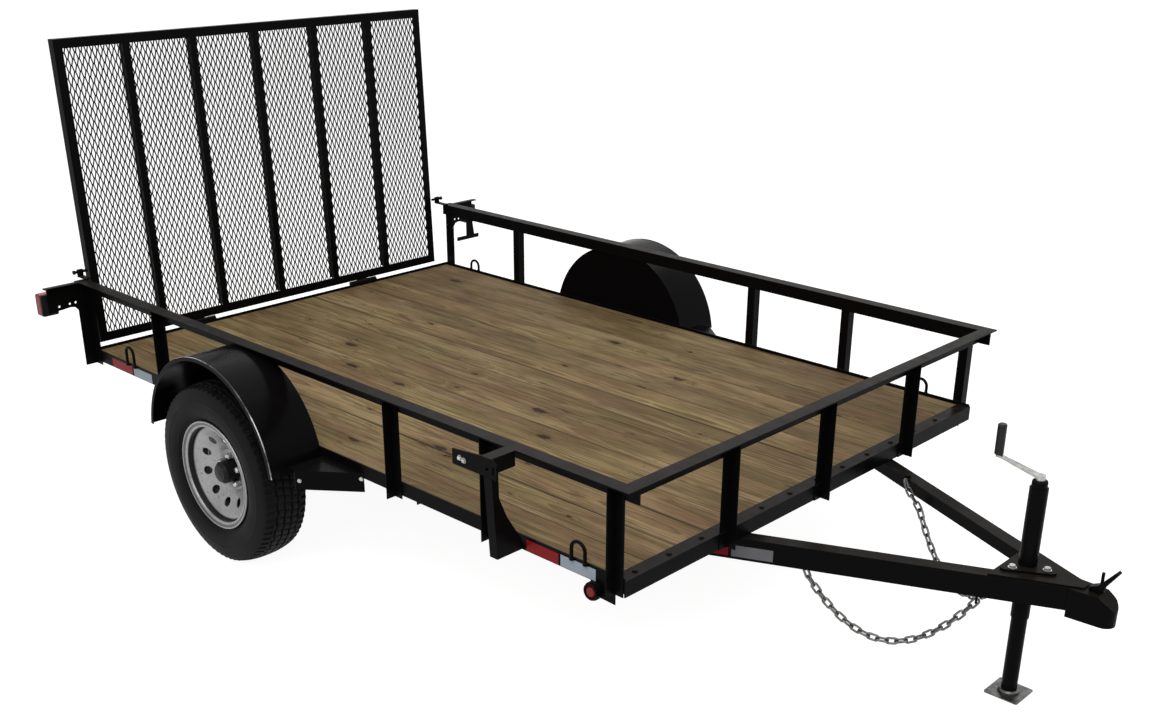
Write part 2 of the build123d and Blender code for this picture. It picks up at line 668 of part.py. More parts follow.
# ---- fenders: rolled band with a lip outside and a flat side against the frame ---------
FENDER_END = 7.0
for side_name, side in SIDES:
    inner_face = side * (SIDE_FACE + 1.0)
    with BuildPart() as fender:
        with BuildSketch(Plane.XZ.offset(-inner_face)):
            with BuildLine():
                crown = CenterArc((AXLE_X, FENDER_Z), FENDER_RADIUS, FENDER_END, 180 - 2 * FENDER_END)
                under = CenterArc(
                    (AXLE_X, FENDER_Z), FENDER_RADIUS - FENDER_SKIN, FENDER_END, 180 - 2 * FENDER_END
                )
                Line(crown @ 0, under @ 0)
                Line(crown @ 1, under @ 1)
            make_face()
        extrude(amount=-side * (FENDER_OUTER - SIDE_FACE - 1))
        with BuildSketch(Plane.XZ.offset(-inner_face)):
            with BuildLine():
                edge = CenterArc(
                    (AXLE_X, FENDER_Z), FENDER_RADIUS - FENDER_SKIN, FENDER_END, 180 - 2 * FENDER_END
                )
                Line(edge @ 0, edge @ 1)
            make_face()
        extrude(amount=-side * FENDER_SKIN)
        with BuildSketch(Plane.XZ.offset(-side * (FENDER_OUTER - 3))):
            with BuildLine():
                lip = CenterArc(
                    (AXLE_X, FENDER_Z), FENDER_RADIUS - FENDER_SKIN, FENDER_END, 180 - 2 * FENDER_END
                )
                curl = CenterArc((AXLE_X, FENDER_Z), FENDER_RADIUS - 14, FENDER_END, 180 - 2 * FENDER_END)
                Line(lip @ 0, curl @ 0)
                Line(lip @ 1, curl @ 1)
            make_face()
        extrude(amount=-side * 3)
    save(fender.part, f"fender_{side_name}")

# ---- fender steps: gusset from the frame to the fender's front end ---------------------
STEP_HEIGHT = 72.0
STEP_TOP = 478.0
STEP_FRAME_X = RAIL_FRONT - 1264.0
STEP_TIP = (RAIL_FRONT - 1456.0, 1160.0)
STEP_SKIN = 4.0
with BuildPart() as fender_steps:
    for _, side in SIDES:
        fender_x = AXLE_X + FENDER_RADIUS + 1
        root = side * SIDE_FACE
        with BuildSketch(Plane.XY.offset(STEP_TOP - STEP_SKIN)):
            outline(
                (STEP_FRAME_X, root),
                (STEP_TIP[0], side * STEP_TIP[1]),
                (fender_x, side * STEP_TIP[1]),
                (fender_x, root),
            )
        extrude(amount=STEP_SKIN)
        with BuildSketch(Plane.XY.offset(STEP_TOP - STEP_HEIGHT)):
            outline(
                (STEP_FRAME_X, root),
                (STEP_TIP[0], side * STEP_TIP[1]),
                (STEP_TIP[0] - 5, side * STEP_TIP[1]),
                (STEP_FRAME_X - 5, root),
            )
        extrude(amount=STEP_HEIGHT - STEP_SKIN)
save(fender_steps.part, "fender_steps")

# ---- gate: leans back from its hinges ----------------------------------------------------
# local X is the trailer's left, local Y runs up the gate, local Z faces the bed
GATE_TILT = radians(GATE_LEAN)
GATE_PLANE = Plane(
    (GATE_HINGE_X, 0, GATE_HINGE_Z), x_dir=(0, 1, 0), z_dir=(cos(GATE_TILT), 0, sin(GATE_TILT))
)
GATE_FACE = -12.0           # bed-side face of the frame, from the hinge axis
GATE_FOOT = 9.0             # lower edge of the frame, above the hinge axis
GATE_BARS = 5
BAR_LEG = 31.8
BAR_WALL = 3.2
GATE_PITCH = 2 * GATE_HALF / (GATE_BARS + 1)
GATE_MIDDLE = GATE_FOOT + GATE_HEIGHT / 2
with BuildPart() as gate_frame:
    with BuildSketch(GATE_PLANE.offset(GATE_FACE)):
        with Locations((0, GATE_MIDDLE)):
            Rectangle(2 * GATE_HALF, GATE_HEIGHT)
            Rectangle(2 * (GATE_HALF - GATE_LEG), GATE_HEIGHT - 2 * GATE_LEG, mode=Mode.SUBTRACT)
    extrude(amount=-GATE_WALL)
    with BuildSketch(GATE_PLANE.offset(GATE_FACE)):
        with Locations((0, GATE_MIDDLE)):
            Rectangle(2 * GATE_HALF, GATE_HEIGHT)
            Rectangle(2 * (GATE_HALF - GATE_WALL), GATE_HEIGHT - 2 * GATE_WALL, mode=Mode.SUBTRACT)
    extrude(amount=-GATE_LEG)
save(gate_frame.part, "gate_frame")

with BuildPart() as gate_bars:
    with BuildSketch(GATE_PLANE.offset(GATE_FACE)):
        with Locations((0, GATE_MIDDLE)):
            with GridLocations(GATE_PITCH, 1, GATE_BARS, 1):
                Rectangle(BAR_LEG, GATE_HEIGHT - 2 * GATE_LEG)
    extrude(amount=-BAR_WALL)
    with BuildSketch(GATE_PLANE.offset(GATE_FACE)):
        with Locations(((BAR_LEG - BAR_WALL) / 2, GATE_MIDDLE)):
            with GridLocations(GATE_PITCH, 1, GATE_BARS, 1):
                Rectangle(BAR_WALL, GATE_HEIGHT - 2 * GATE_LEG)
    extrude(amount=-BAR_LEG)
save(gate_bars.part, "gate_bars")

# ---- gate mesh: tall diamonds behind the frame's faces, drawn coarse -----------------------
MESH_THICK = 2.6
DIAMOND_WIDE = 104.0
DIAMOND_HIGH = 208.0
STRAND = 7.0          # width of a strand, level
MESH_GAP = 1.0
ROWS = 6
MESH_HIGH = GATE_HEIGHT - 2 * (GATE_WALL + MESH_GAP)
with BuildPart() as gate_mesh:
    for panel in range(GATE_BARS + 1):
        left = -GATE_HALF + panel * GATE_PITCH
        start = left + (BAR_LEG / 2 if panel else GATE_WALL) + MESH_GAP
        stop = left + GATE_PITCH
        stop += BAR_LEG / 2 - BAR_WALL - MESH_GAP if panel < GATE_BARS else -GATE_WALL - MESH_GAP
        with BuildSketch(GATE_PLANE.offset(GATE_FACE - GATE_WALL)):
            with Locations(((start + stop) / 2, GATE_MIDDLE)):
                Rectangle(stop - start, MESH_HIGH)
                columns = int((stop - start) / DIAMOND_WIDE) + 1
                half_wide = DIAMOND_WIDE / 2 - STRAND / 2
                half_high = half_wide * DIAMOND_HIGH / DIAMOND_WIDE
                for odd in (0, 1):
                    with GridLocations(DIAMOND_WIDE, DIAMOND_HIGH, columns + odd, ROWS + 1 - odd):
                        Polygon(
                            (half_wide, 0), (0, half_high), (-half_wide, 0), (0, -half_high),
                            align=None, mode=Mode.SUBTRACT,
                        )
            with Locations(((start + stop) / 2, GATE_MIDDLE)):
                Rectangle(stop - start, MESH_HIGH)
                Rectangle(stop - start - STRAND, MESH_HIGH - STRAND, mode=Mode.SUBTRACT)
        extrude(amount=-MESH_THICK)
save(gate_mesh.part, "gate_mesh")

# ---- gate hinges: barrel on the gate, two knuckles and a pin on the rear frame -------------
HINGE_Y = 470.0
KNUCKLE_RADIUS = 11.0
PIN_RADIUS = 8.0
BARREL_HALF = 30.0
KNUCKLE_LENGTH = 48.0
HINGE_SPOTS = (-HINGE_Y, HINGE_Y)
with BuildPart() as gate_barrels:
    for spot in HINGE_SPOTS:
        with BuildSketch(Plane.XZ.offset(-spot)):
            with Locations((GATE_HINGE_X, GATE_HINGE_Z)):
                Circle(KNUCKLE_RADIUS)
        extrude(amount=BARREL_HALF, both=True)
        with BuildSketch(GATE_PLANE.offset(GATE_FACE)):
            with Locations((spot, (GATE_FOOT + 20) / 2)):
                Rectangle(2 * BARREL_HALF, 20 + GATE_FOOT)
        extrude(amount=5)
        with BuildSketch(Plane.XZ.offset(-spot)):
            with Locations((GATE_HINGE_X, GATE_HINGE_Z)):
                Circle(PIN_RADIUS + RUNNING_FIT)
        extrude(amount=BARREL_HALF + 1, both=True, mode=Mode.SUBTRACT)
save(gate_barrels.part, "gate_barrels")

with BuildPart() as gate_knuckles:
    for spot in HINGE_SPOTS:
        with BuildSketch(Plane.XZ.offset(-spot)):
            with Locations((GATE_HINGE_X, GATE_HINGE_Z)):
                Circle(PIN_RADIUS)
        extrude(amount=BARREL_HALF + KNUCKLE_LENGTH, both=True)
        for end in (-1, 1):
            middle = spot + end * (BARREL_HALF + 1 + KNUCKLE_LENGTH / 2)
            with BuildSketch(Plane.XZ.offset(-middle)):
                with Locations((GATE_HINGE_X, GATE_HINGE_Z)):
                    Circle(KNUCKLE_RADIUS)
                outline(
                    (GATE_HINGE_X, GATE_HINGE_Z - KNUCKLE_RADIUS),
                    (FRAME_REAR - WALL, GATE_HINGE_Z - KNUCKLE_RADIUS - 12),
                    (FRAME_REAR - WALL, GATE_HINGE_Z - 3),
                    (GATE_HINGE_X, GATE_HINGE_Z - 3),
                )
            extrude(amount=(KNUCKLE_LENGTH - 1) / 2, both=True)
save(gate_knuckles.part, "gate_knuckles")

# ---- gate latches: arm on each rail end, sprung pin beside the gate ------------------------
ARM_Y = RAIL_HALF - 54.0
ARM_WIDE = 24.0
ARM_HIGH = 6.0
ARM_BACK = RAIL_REAR - 46.0
LUG_THICK = 10.0
LUG_HIGH = 32.0
LATCH_PIN_RADIUS = 6.0
LATCH_PIN_TIP = GATE_HALF + 7.0
LATCH_PIN_TAIL = RAIL_HALF - 12.0
with BuildPart() as gate_latches:
    for _, side in SIDES:
        with Locations((ARM_BACK, side * ARM_Y, RAIL_TOP)):
            Box(76, ARM_WIDE, ARM_HIGH, align=(Align.MIN, Align.CENTER, Align.MIN))
            Box(LUG_THICK, ARM_WIDE, LUG_HIGH, align=(Align.MIN, Align.CENTER, Align.MIN))
        with BuildSketch(Plane.XZ.offset(-side * LATCH_PIN_TIP)):
            with Locations((ARM_BACK + LUG_THICK / 2, RAIL_TOP + LUG_HIGH - 10)):
                Circle(LATCH_PIN_RADIUS)
        extrude(amount=-side * (LATCH_PIN_TAIL - LATCH_PIN_TIP))
save(gate_latches.part, "gate_latches")

# ---- tail lamps: brackets from the corner posts, the left one carries the number plate ---------
BRACKET_START = SIDE_FACE + CORNER_LEG
BRACKET_END = 1186.0
BRACKET_LIP = 1200.0
BRACKET_TOP = RAIL_TOP - WALL
BRACKET_HOLES = ((1066.0, 726.0), (1092.0, 725.0), (1139.0, 722.0))
BRACKET_FOOT = (
    (BRACKET_END, 703.0), (1128.0, 706.0), (1090.0, 710.0), (1070.0, 706.0), (BRACKET_START, 690.0)
)
PLATE_STRIP = ((1080.0, 1230.0), (606.0, 626.0))      # Y range, Z range
PLATE_NECK = (1145.0, 1200.0)                         # Y range
LAMP_MIDDLE = (1178.0, 737.0)                         # Y, Z
LAMP_BASE_DEPTH = 8.0
LENS_DEPTH = 44.0
LAMP_CORNERS = 8.0
with BuildPart() as lamp_brackets:
    for _, side in SIDES:
        with BuildSketch(Plane.YZ.offset(FRAME_REAR)):
            outline(
                (side * BRACKET_START, BRACKET_TOP),
                (side * BRACKET_END, BRACKET_TOP),
                *((side * y, z) for y, z in BRACKET_FOOT),
            )
            with Locations(*((side * y, z) for y, z in BRACKET_HOLES)):
                Circle(5, mode=Mode.SUBTRACT)
        extrude(amount=POST_WALL)
        with BuildSketch(Plane.YZ.offset(FRAME_REAR)):
            with Locations((side * (RAIL_HALF + BRACKET_LIP) / 2, RAIL_TOP - WALL / 2)):
                Rectangle(BRACKET_LIP - RAIL_HALF, WALL)
        extrude(amount=24)
    (strip_in, strip_out), (strip_low, strip_high) = PLATE_STRIP
    with BuildSketch(Plane.YZ.offset(FRAME_REAR)):
        outline(
            (strip_in, strip_low), (strip_out, strip_low), (strip_out, strip_high),
            (PLATE_NECK[1], strip_high), (PLATE_NECK[1] - 14, BRACKET_FOOT[0][1] + 4),
            (PLATE_NECK[0], BRACKET_FOOT[0][1] + 4), (PLATE_NECK[0], strip_high),
            (strip_in, strip_high),
        )
    extrude(amount=POST_WALL)
save(lamp_brackets.part, "lamp_brackets")

with BuildPart() as tail_lamp_bases:
    with BuildSketch(Plane.YZ.offset(FRAME_REAR)):
        with Locations(*((side * LAMP_MIDDLE[0], LAMP_MIDDLE[1]) for _, side in SIDES)):
            RectangleRounded(70, 90, LAMP_CORNERS)
    extrude(amount=-LAMP_BASE_DEPTH)
save(tail_lamp_bases.part, "tail_lamp_bases")

with BuildPart() as tail_lenses:
    with BuildSketch(Plane.YZ.offset(FRAME_REAR - LAMP_BASE_DEPTH)):
        with Locations(*((side * LAMP_MIDDLE[0], LAMP_MIDDLE[1]) for _, side in SIDES)):
            RectangleRounded(72, 92, LAMP_CORNERS)
    extrude(amount=-LENS_DEPTH)
    fillet(tail_lenses.edges().group_by(Axis.X)[0], radius=LAMP_CORNERS)
save(tail_lenses.part, "tail_lenses")

# ---- marker lamps: round, on tabs under the side frames ------------------------------------------
MARKER_X = RAIL_FRONT - 167.0
MARKER_Z = 430.0
MARKER_RADIUS = 30.0
with BuildPart() as marker_lamps:
    for _, side in SIDES:
        with BuildSketch(Plane.XZ.offset(-side * (SIDE_FACE - 3))):
            with Locations((MARKER_X, (MARKER_Z + FRAME_BOTTOM) / 2)):
                Rectangle(36, FRAME_BOTTOM - MARKER_Z)
            with Locations((MARKER_X, MARKER_Z)):
                Circle(MARKER_RADIUS - 2)
        extrude(amount=-side * 3)
        with BuildSketch(Plane.XZ.offset(-side * SIDE_FACE)):
            with Locations((MARKER_X, MARKER_Z)):
                Circle(MARKER_RADIUS)
        extrude(amount=-side * 14)
save(marker_lamps.part, "marker_lamps")

with BuildPart() as marker_lenses:
    for _, side in SIDES:
        with BuildSketch(Plane.XZ.offset(-side * (SIDE_FACE + 14))):
            with Locations((MARKER_X, MARKER_Z)):
                Circle(19.0)
        extrude(amount=-side * 8)
    chamfer(marker_lenses.edges().filter_by(GeomType.CIRCLE).group_by(Axis.Y)[0], 4)
    chamfer(marker_lenses.edges().filter_by(GeomType.CIRCLE).group_by(Axis.Y)[-1], 4)
save(marker_lenses.part, "marker_lenses")

# ---- tie-down loops: bent rod on the side frames ---------------------------------------------------
ROD_RADIUS = 6.0
ROD_FOOT = FRAME_BOTTOM + 8.0
LOOP_HALF = 27.0
LOOP_BEND = 26.0
LOOP_TOP = FRAME_TOP + 44.0
# side, distance back from the rail's front edge
TIE_DOWNS = ((-1, 228.0), (-1, 2790.0), (1, 274.0), (1, 2890.0))
with BuildPart() as tie_downs:
    for side, back in TIE_DOWNS:
        middle = RAIL_FRONT - back
        rod_y = side * (SIDE_FACE + ROD_RADIUS)
        with BuildLine(Plane.XZ.offset(-rod_y)) as rod_path:
            FilletPolyline(
                (middle - LOOP_HALF, ROD_FOOT),
                (middle - LOOP_HALF, LOOP_TOP),
                (middle + LOOP_HALF, LOOP_TOP),
                (middle + LOOP_HALF, ROD_FOOT),
                radius=LOOP_BEND,
            )
        with BuildSketch(Plane((middle - LOOP_HALF, rod_y, ROD_FOOT))):
            RegularPolygon(ROD_RADIUS, 8)
        sweep(path=rod_path.wire())
save(tie_downs.part, "tie_downs")

# ---- spare wheel carrier: arm, drilled plate and a gusset with an outer lip --------------------------
CARRIER_ARM = (RAIL_FRONT - 500.0, RAIL_FRONT - 455.0)
CARRIER_FACE = 1150.0
CARRIER_BACK = CARRIER_FACE - WALL
CARRIER_PLATE = (RAIL_FRONT - 628.0, RAIL_FRONT - 434.0)
CARRIER_PLATE_Z = (749.0, 799.0)
HOLE_SPACING = 108.7
HOLE_RADIUS = 6.75
HOLE_Z = 774.0
HOLE_REAR = RAIL_FRONT - 583.0
# Y, Z round the gusset: outer edge from the top down, then the inner edge back up
GUSSET_OUTER = ((-CARRIER_BACK, 757.0), (-CARRIER_BACK, 740.0), (-1128.0, 471.0))
GUSSET_INNER = ((-SIDE_FACE, 471.0), (-1031.0, 516.0), (-1085.0, 602.0), (-1116.0, 673.0), (-1118.0, 757.0))
GUSSET_LIP = 34.0
with BuildPart() as spare_carrier:
    with BuildSketch(Plane.XZ.offset(RAIL_HALF)):
        outline(
            (CARRIER_ARM[0], RAIL_TOP),
            (CARRIER_ARM[1], RAIL_TOP),
            (CARRIER_ARM[1], RAIL_TOP - LEG),
            (CARRIER_ARM[1] - WALL, RAIL_TOP - LEG),
            (CARRIER_ARM[1] - WALL, RAIL_TOP - WALL),
            (CARRIER_ARM[0], RAIL_TOP - WALL),
        )
    extrude(amount=CARRIER_BACK - RAIL_HALF)
    with BuildSketch(Plane.XZ.offset(CARRIER_BACK)):
        outline(
            (CARRIER_PLATE[0], CARRIER_PLATE_Z[1]),
            (CARRIER_ARM[0], RAIL_TOP),
            (CARRIER_ARM[1], RAIL_TOP),
            (CARRIER_PLATE[1], CARRIER_PLATE_Z[1]),
            (CARRIER_PLATE[1], CARRIER_PLATE_Z[0]),
            (CARRIER_PLATE[0], CARRIER_PLATE_Z[0]),
        )
        with Locations((HOLE_REAR, HOLE_Z), (HOLE_REAR + HOLE_SPACING, HOLE_Z)):
            Circle(HOLE_RADIUS, mode=Mode.SUBTRACT)
        with Locations((CARRIER_PLATE[1] - 14, HOLE_Z)):
            SlotOverall(30, 10, rotation=90, mode=Mode.SUBTRACT)
    extrude(amount=WALL)
    with BuildSketch(Plane.YZ.offset(CARRIER_ARM[1] - 2 * WALL)):
        outline(*GUSSET_OUTER, *GUSSET_INNER)
    extrude(amount=WALL)
    lip_inner = [(y + WALL, z) for y, z in reversed(GUSSET_OUTER)]
    with BuildSketch(Plane.YZ.offset(CARRIER_ARM[1] - WALL)):
        outline(*GUSSET_OUTER, *lip_inner)
    extrude(amount=-GUSSET_LIP)
save(spare_carrier.part, "spare_carrier")

# ---- safety chains: closed links between two hooks inside each tongue member ---------------------------
WIRE = 7.0
LINK_PITCH = 30.0
LINK_SLACK = 0.5
LINK_INNER_WIDTH = 12.0
LINK_CUT = 0.62       # corner cut, as a share of the link's half width
CHAIN_START = (RAIL_FRONT + 140.0, 344.0, 350.0)
CHAIN_END = (RAIL_FRONT + 624.0, 120.0, 350.0)
CHAIN_SAG = 197.0
CURVE_STEPS = 400
HOOK_RADIUS = 4.0


def link_ring(half_long, half_wide):
    """Corners of an eight-sided ring."""
    cut = half_wide * LINK_CUT
    corners = []
    for along, across in ((1, 1), (-1, 1), (-1, -1), (1, -1)):
        pair = [
            (along * half_long, across * (half_wide - cut)),
            (along * (half_long - cut), across * half_wide),
        ]
        corners += pair if along * across > 0 else reversed(pair)
    return corners


with BuildPart() as chain_link:
    with BuildSketch(Plane.XY.offset(-WIRE / 2)):
        outline(*link_ring(LINK_PITCH / 2 + WIRE, LINK_INNER_WIDTH / 2 + WIRE))
        Polygon(*link_ring(LINK_PITCH / 2, LINK_INNER_WIDTH / 2), align=None, mode=Mode.SUBTRACT)
    extrude(amount=WIRE)

span_x, span_y, span_z = (end - start for start, end in zip(CHAIN_START, CHAIN_END))
chain_heading = degrees(atan2(span_y, span_x))


def chain_point(share):
    """X, Y, Z on the left chain at a share of its level span."""
    drop = 4 * CHAIN_SAG * share * (1 - share)
    return (
        CHAIN_START[0] + span_x * share,
        CHAIN_START[1] + span_y * share,
        CHAIN_START[2] + span_z * share - drop,
    )


link_ends = [chain_point(0.0)]
for step in range(1, CURVE_STEPS + 1):
    spot = chain_point(step / CURVE_STEPS)
    last = link_ends[-1]
    if hypot(spot[0] - last[0], spot[1] - last[1], spot[2] - last[2]) >= LINK_PITCH - LINK_SLACK:
        link_ends.append(spot)
if len(link_ends) % 2:
    link_ends.pop()     # an odd number of links leaves both end links upright
# the hooks pass through the end links' holes
HOOK_SHIFT = HOOK_RADIUS + LINK_SLACK
hook_spots = []
for outer, inner in ((link_ends[0], link_ends[1]), (link_ends[-1], link_ends[-2])):
    share = HOOK_SHIFT / LINK_PITCH
    hook_spots.append([a + (b - a) * share for a, b in zip(outer, inner)])

with BuildPart() as safety_chains:
    for _, side in SIDES:
        for index, (tail, head) in enumerate(zip(link_ends, link_ends[1:])):
            flat = hypot(head[0] - tail[0], head[1] - tail[1])
            slope = degrees(atan2(head[2] - tail[2], flat))
            middle = [(a + b) / 2 for a, b in zip(tail, head)]
            with Locations(
                Location((middle[0], side * middle[1], middle[2]), (0, 0, side * chain_heading))
                * Location((0, 0, 0), (0, -slope, 0))
                * Location((0, 0, 0), (90 - 90 * (index % 2), 0, 0))
            ):
                add(chain_link.part)
        for x, y, z in hook_spots:
            # out to the tall leg's inner face, square to the member
            reach = (tongue_edge(x, TONGUE_WALL) - y) * cos(radians(TONGUE_ANGLE))
            hook_plane = Plane(
                (x, side * y, z),
                x_dir=(0, 0, 1),
                z_dir=(sin(radians(TONGUE_ANGLE)), side * cos(radians(TONGUE_ANGLE)), 0),
            )
            with BuildSketch(hook_plane.offset(-WIRE)):
                Circle(HOOK_RADIUS)
            extrude(amount=reach + WIRE)
save(safety_chains.part, "safety_chains")
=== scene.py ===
"""Single-axle utility trailer with a mesh ramp gate, dressed for the studio.

Metres, in the trailer's own frame: +X to the tongue, +Y to its left, +Z up from the floor.
"""

from math import cos, pi, radians, sin, sqrt, tan

import bmesh
import bpy
from mathutils import Matrix, Vector


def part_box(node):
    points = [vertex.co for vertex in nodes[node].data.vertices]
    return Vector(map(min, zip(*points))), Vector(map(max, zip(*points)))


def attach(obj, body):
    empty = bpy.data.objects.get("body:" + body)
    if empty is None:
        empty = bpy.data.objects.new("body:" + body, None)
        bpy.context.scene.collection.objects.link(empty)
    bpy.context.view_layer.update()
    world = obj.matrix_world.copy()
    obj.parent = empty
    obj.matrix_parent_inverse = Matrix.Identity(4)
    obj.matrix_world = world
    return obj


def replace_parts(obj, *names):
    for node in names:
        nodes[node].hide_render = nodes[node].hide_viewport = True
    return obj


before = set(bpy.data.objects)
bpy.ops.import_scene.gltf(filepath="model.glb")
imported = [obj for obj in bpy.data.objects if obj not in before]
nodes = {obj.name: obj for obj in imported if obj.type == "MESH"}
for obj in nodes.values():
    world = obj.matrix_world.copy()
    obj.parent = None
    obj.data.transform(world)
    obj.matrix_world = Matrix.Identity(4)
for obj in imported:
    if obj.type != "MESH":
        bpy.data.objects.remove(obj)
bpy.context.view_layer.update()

# ---- Frame, rails and posts ----------------------------------------------------------
# Hot-rolled steel angle, cut and welded into a box, then sprayed in one go with gloss
# black enamel. Faces that look up are lightened by a dusty film and a painted sheen.


def put(tree, kind, inputs=None, **settings):
    """Adds a shader node. inputs maps a socket's name or number to a value or another socket."""
    made = tree.nodes.new(kind)
    for key, value in settings.items():
        setattr(made, key, value)
    for key, value in (inputs or {}).items():
        if isinstance(value, bpy.types.NodeSocket):
            tree.links.new(value, made.inputs[key])
        else:
            made.inputs[key].default_value = value
    return made


def new_finish(name, **plain):
    """A material with one Principled shader. plain sets its sockets: base_color=..., coat_weight=..."""
    finish = bpy.data.materials.new(name)
    finish.use_nodes = True
    tree = finish.node_tree
    tree.nodes.clear()
    shader = put(tree, "ShaderNodeBsdfPrincipled")
    for key, value in plain.items():
        title = " ".join(word.upper() if word == "ior" else word.title() for word in key.split("_"))
        shader.inputs[title].default_value = value
    out = put(tree, "ShaderNodeOutputMaterial", {"Surface": shader.outputs[0]})
    out.is_active_output = True
    return finish, tree, shader


def new_group(name, takes, gives):
    """A shader node group; takes and gives list (socket name, kind, default)."""
    group = bpy.data.node_groups.new(name, "ShaderNodeTree")
    for direction, sockets in (("INPUT", takes), ("OUTPUT", gives)):
        for title, kind, default in sockets:
            socket = group.interface.new_socket(title, in_out=direction, socket_type=f"NodeSocket{kind}")
            if default is not None:
                socket.default_value = default
    return group, put(group, "NodeGroupInput"), put(group, "NodeGroupOutput")


def noise(tree, vector, scale, detail=3.0, rough=0.5, distortion=0.0):
    """A fractal noise value over vector."""
    made = put(tree, "ShaderNodeTexNoise", {
        "Vector": vector, "Scale": scale, "Detail": detail, "Roughness": rough, "Distortion": distortion,
    })
    return made.outputs["Fac"]


def ramp(tree, value, low, high, to_low=0.0, to_high=1.0):
    """value moved from low..high to to_low..to_high, clamped."""
    made = put(tree, "ShaderNodeMapRange", {
        "Value": value, "From Min": low, "From Max": high, "To Min": to_low, "To Max": to_high,
    })
    return made.outputs[0]


def blend_colour(tree, share, first, second):
    """first where share is 0, second where it is 1."""
    made = put(tree, "ShaderNodeMix", {"Factor": share, "A": first, "B": second}, data_type="RGBA")
    return made.outputs["Result"]


def sum_up(tree, kind, first, second):
    """One Math node's result."""
    return put(tree, "ShaderNodeMath", {0: first, 1: second}, operation=kind).outputs[0]


def sprayed_coat():
    """Paint from a gun: orange peel, patchy gloss, and a dusty film with painted sheen lightening what faces
    up.
    """
    group, takes, gives = new_group(
        "sprayed_coat",
        [("Paint", "Color", (0, 0, 0, 1)), ("Dust And Sheen Colour", "Color", (0.1, 0.09, 0.08, 1)),
         ("Dust And Sheen", "Float", 0.5), ("Roughness", "Float", 0.3)],
        [("Colour", "Color", None), ("Roughness", "Float", None), ("Height", "Float", None)],
    )
    place = put(group, "ShaderNodeTexCoord").outputs["Object"]
    facing = put(group, "ShaderNodeSeparateXYZ", {0: put(group, "ShaderNodeNewGeometry").outputs["Normal"]})
    upward = ramp(group, facing.outputs["Z"], 0.25, 0.95)
    patches = ramp(group, noise(group, place, 7.0, 5.0, 0.6), 0.3, 0.7, 0.45, 1.0)
    # faces that look up are pulled towards the lighter colour: a dusty film and a painted sheen
    film = sum_up(group, "MULTIPLY", sum_up(group, "MULTIPLY", upward, patches), takes.outputs["Dust And Sheen"])
    colour = blend_colour(group, film, takes.outputs["Paint"], takes.outputs["Dust And Sheen Colour"])
    mottle = ramp(group, noise(group, place, 22.0, 4.0), 0.3, 0.7, -0.05, 0.07)
    rough = sum_up(group, "ADD", takes.outputs["Roughness"], mottle)
    rough = sum_up(group, "ADD", rough, sum_up(group, "MULTIPLY", film, 0.35))
    peel = noise(group, place, 420.0, 2.0)
    group.links.new(colour, gives.inputs["Colour"])
    group.links.new(rough, gives.inputs["Roughness"])
    group.links.new(peel, gives.inputs["Height"])
    return group


coat_effect = sprayed_coat()


def coated(name, paint, roughness, dust_and_sheen, dust_and_sheen_colour=(0.052, 0.042, 0.031, 1), peel=0.0004, **plain):
    """A material sprayed with the coat effect."""
    finish, tree, shader = new_finish(name, **plain)
    coat = put(tree, "ShaderNodeGroup", node_tree=coat_effect)
    coat.inputs["Paint"].default_value = paint
    coat.inputs["Dust And Sheen Colour"].default_value = dust_and_sheen_colour
    # how strongly up-facing faces take the dusty film and painted sheen
    coat.inputs["Dust And Sheen"].default_value = dust_and_sheen
    coat.inputs["Roughness"].default_value = roughness
    bump = put(tree, "ShaderNodeBump", {"Height": coat.outputs["Height"], "Strength": 0.35, "Distance": peel})
    tree.links.new(coat.outputs["Colour"], shader.inputs["Base Color"])
    tree.links.new(coat.outputs["Roughness"], shader.inputs["Roughness"])
    tree.links.new(bump.outputs[0], shader.inputs["Normal"])
    return finish


def wear(finish, *names):
    """The named CAD nodes show this finish."""
    for name in names:
        nodes[name].data.materials.clear()
        nodes[name].data.materials.append(finish)


black_enamel = coated("black_enamel", (0.0042, 0.0038, 0.0038, 1), 0.3, 0.2, specular_ior_level=0.028)
wear(
    black_enamel,
    "side_frame_left", "side_frame_right", "front_frame", "rear_frame", "cross_members",
    "posts", "side_rails", "front_rail", "tongue_left", "tongue_right", "tongue_plate",
    "coupler", "coupler_latch", "jack_tube", "jack_leg", "axle", "springs", "spring_hangers",
    "hub_left", "hub_right", "gate_frame",
    "gate_barrels", "gate_knuckles", "lamp_brackets", "marker_lamps", "spare_carrier",
)


def skin(shape, rings, closed=False):
    """Joins rings of points with faces; closed joins last to first, else both ends are capped."""
    loops = [[shape.verts.new(point) for point in ring] for ring in rings]
    pairs = list(zip(loops, loops[1:]))
    if closed:
        pairs.append((loops[-1], loops[0]))
    else:
        shape.faces.new(loops[0])
        shape.faces.new(loops[-1])
    count = len(loops[0])
    for ring, following in pairs:
        for point in range(count):
            beyond = (point + 1) % count
            shape.faces.new((ring[point], ring[beyond], following[beyond], following[point]))


def add_piece(name, shape, finish, body="chassis", crease=None):
    """Turns a bmesh into a piece of the object; edges sharper than crease, in degrees, stay sharp."""
    mesh = bpy.data.meshes.new(name)
    bmesh.ops.recalc_face_normals(shape, faces=shape.faces)
    shape.to_mesh(mesh)
    shape.free()
    if crease:
        mesh.polygons.foreach_set("use_smooth", [True] * len(mesh.polygons))
        mesh.set_sharp_from_angle(angle=radians(crease))
    mesh.materials.append(finish)
    piece = bpy.data.objects.new(name, mesh)
    bpy.context.scene.collection.objects.link(piece)
    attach(piece, body)
    return piece


WELD_RIPPLE = 0.003


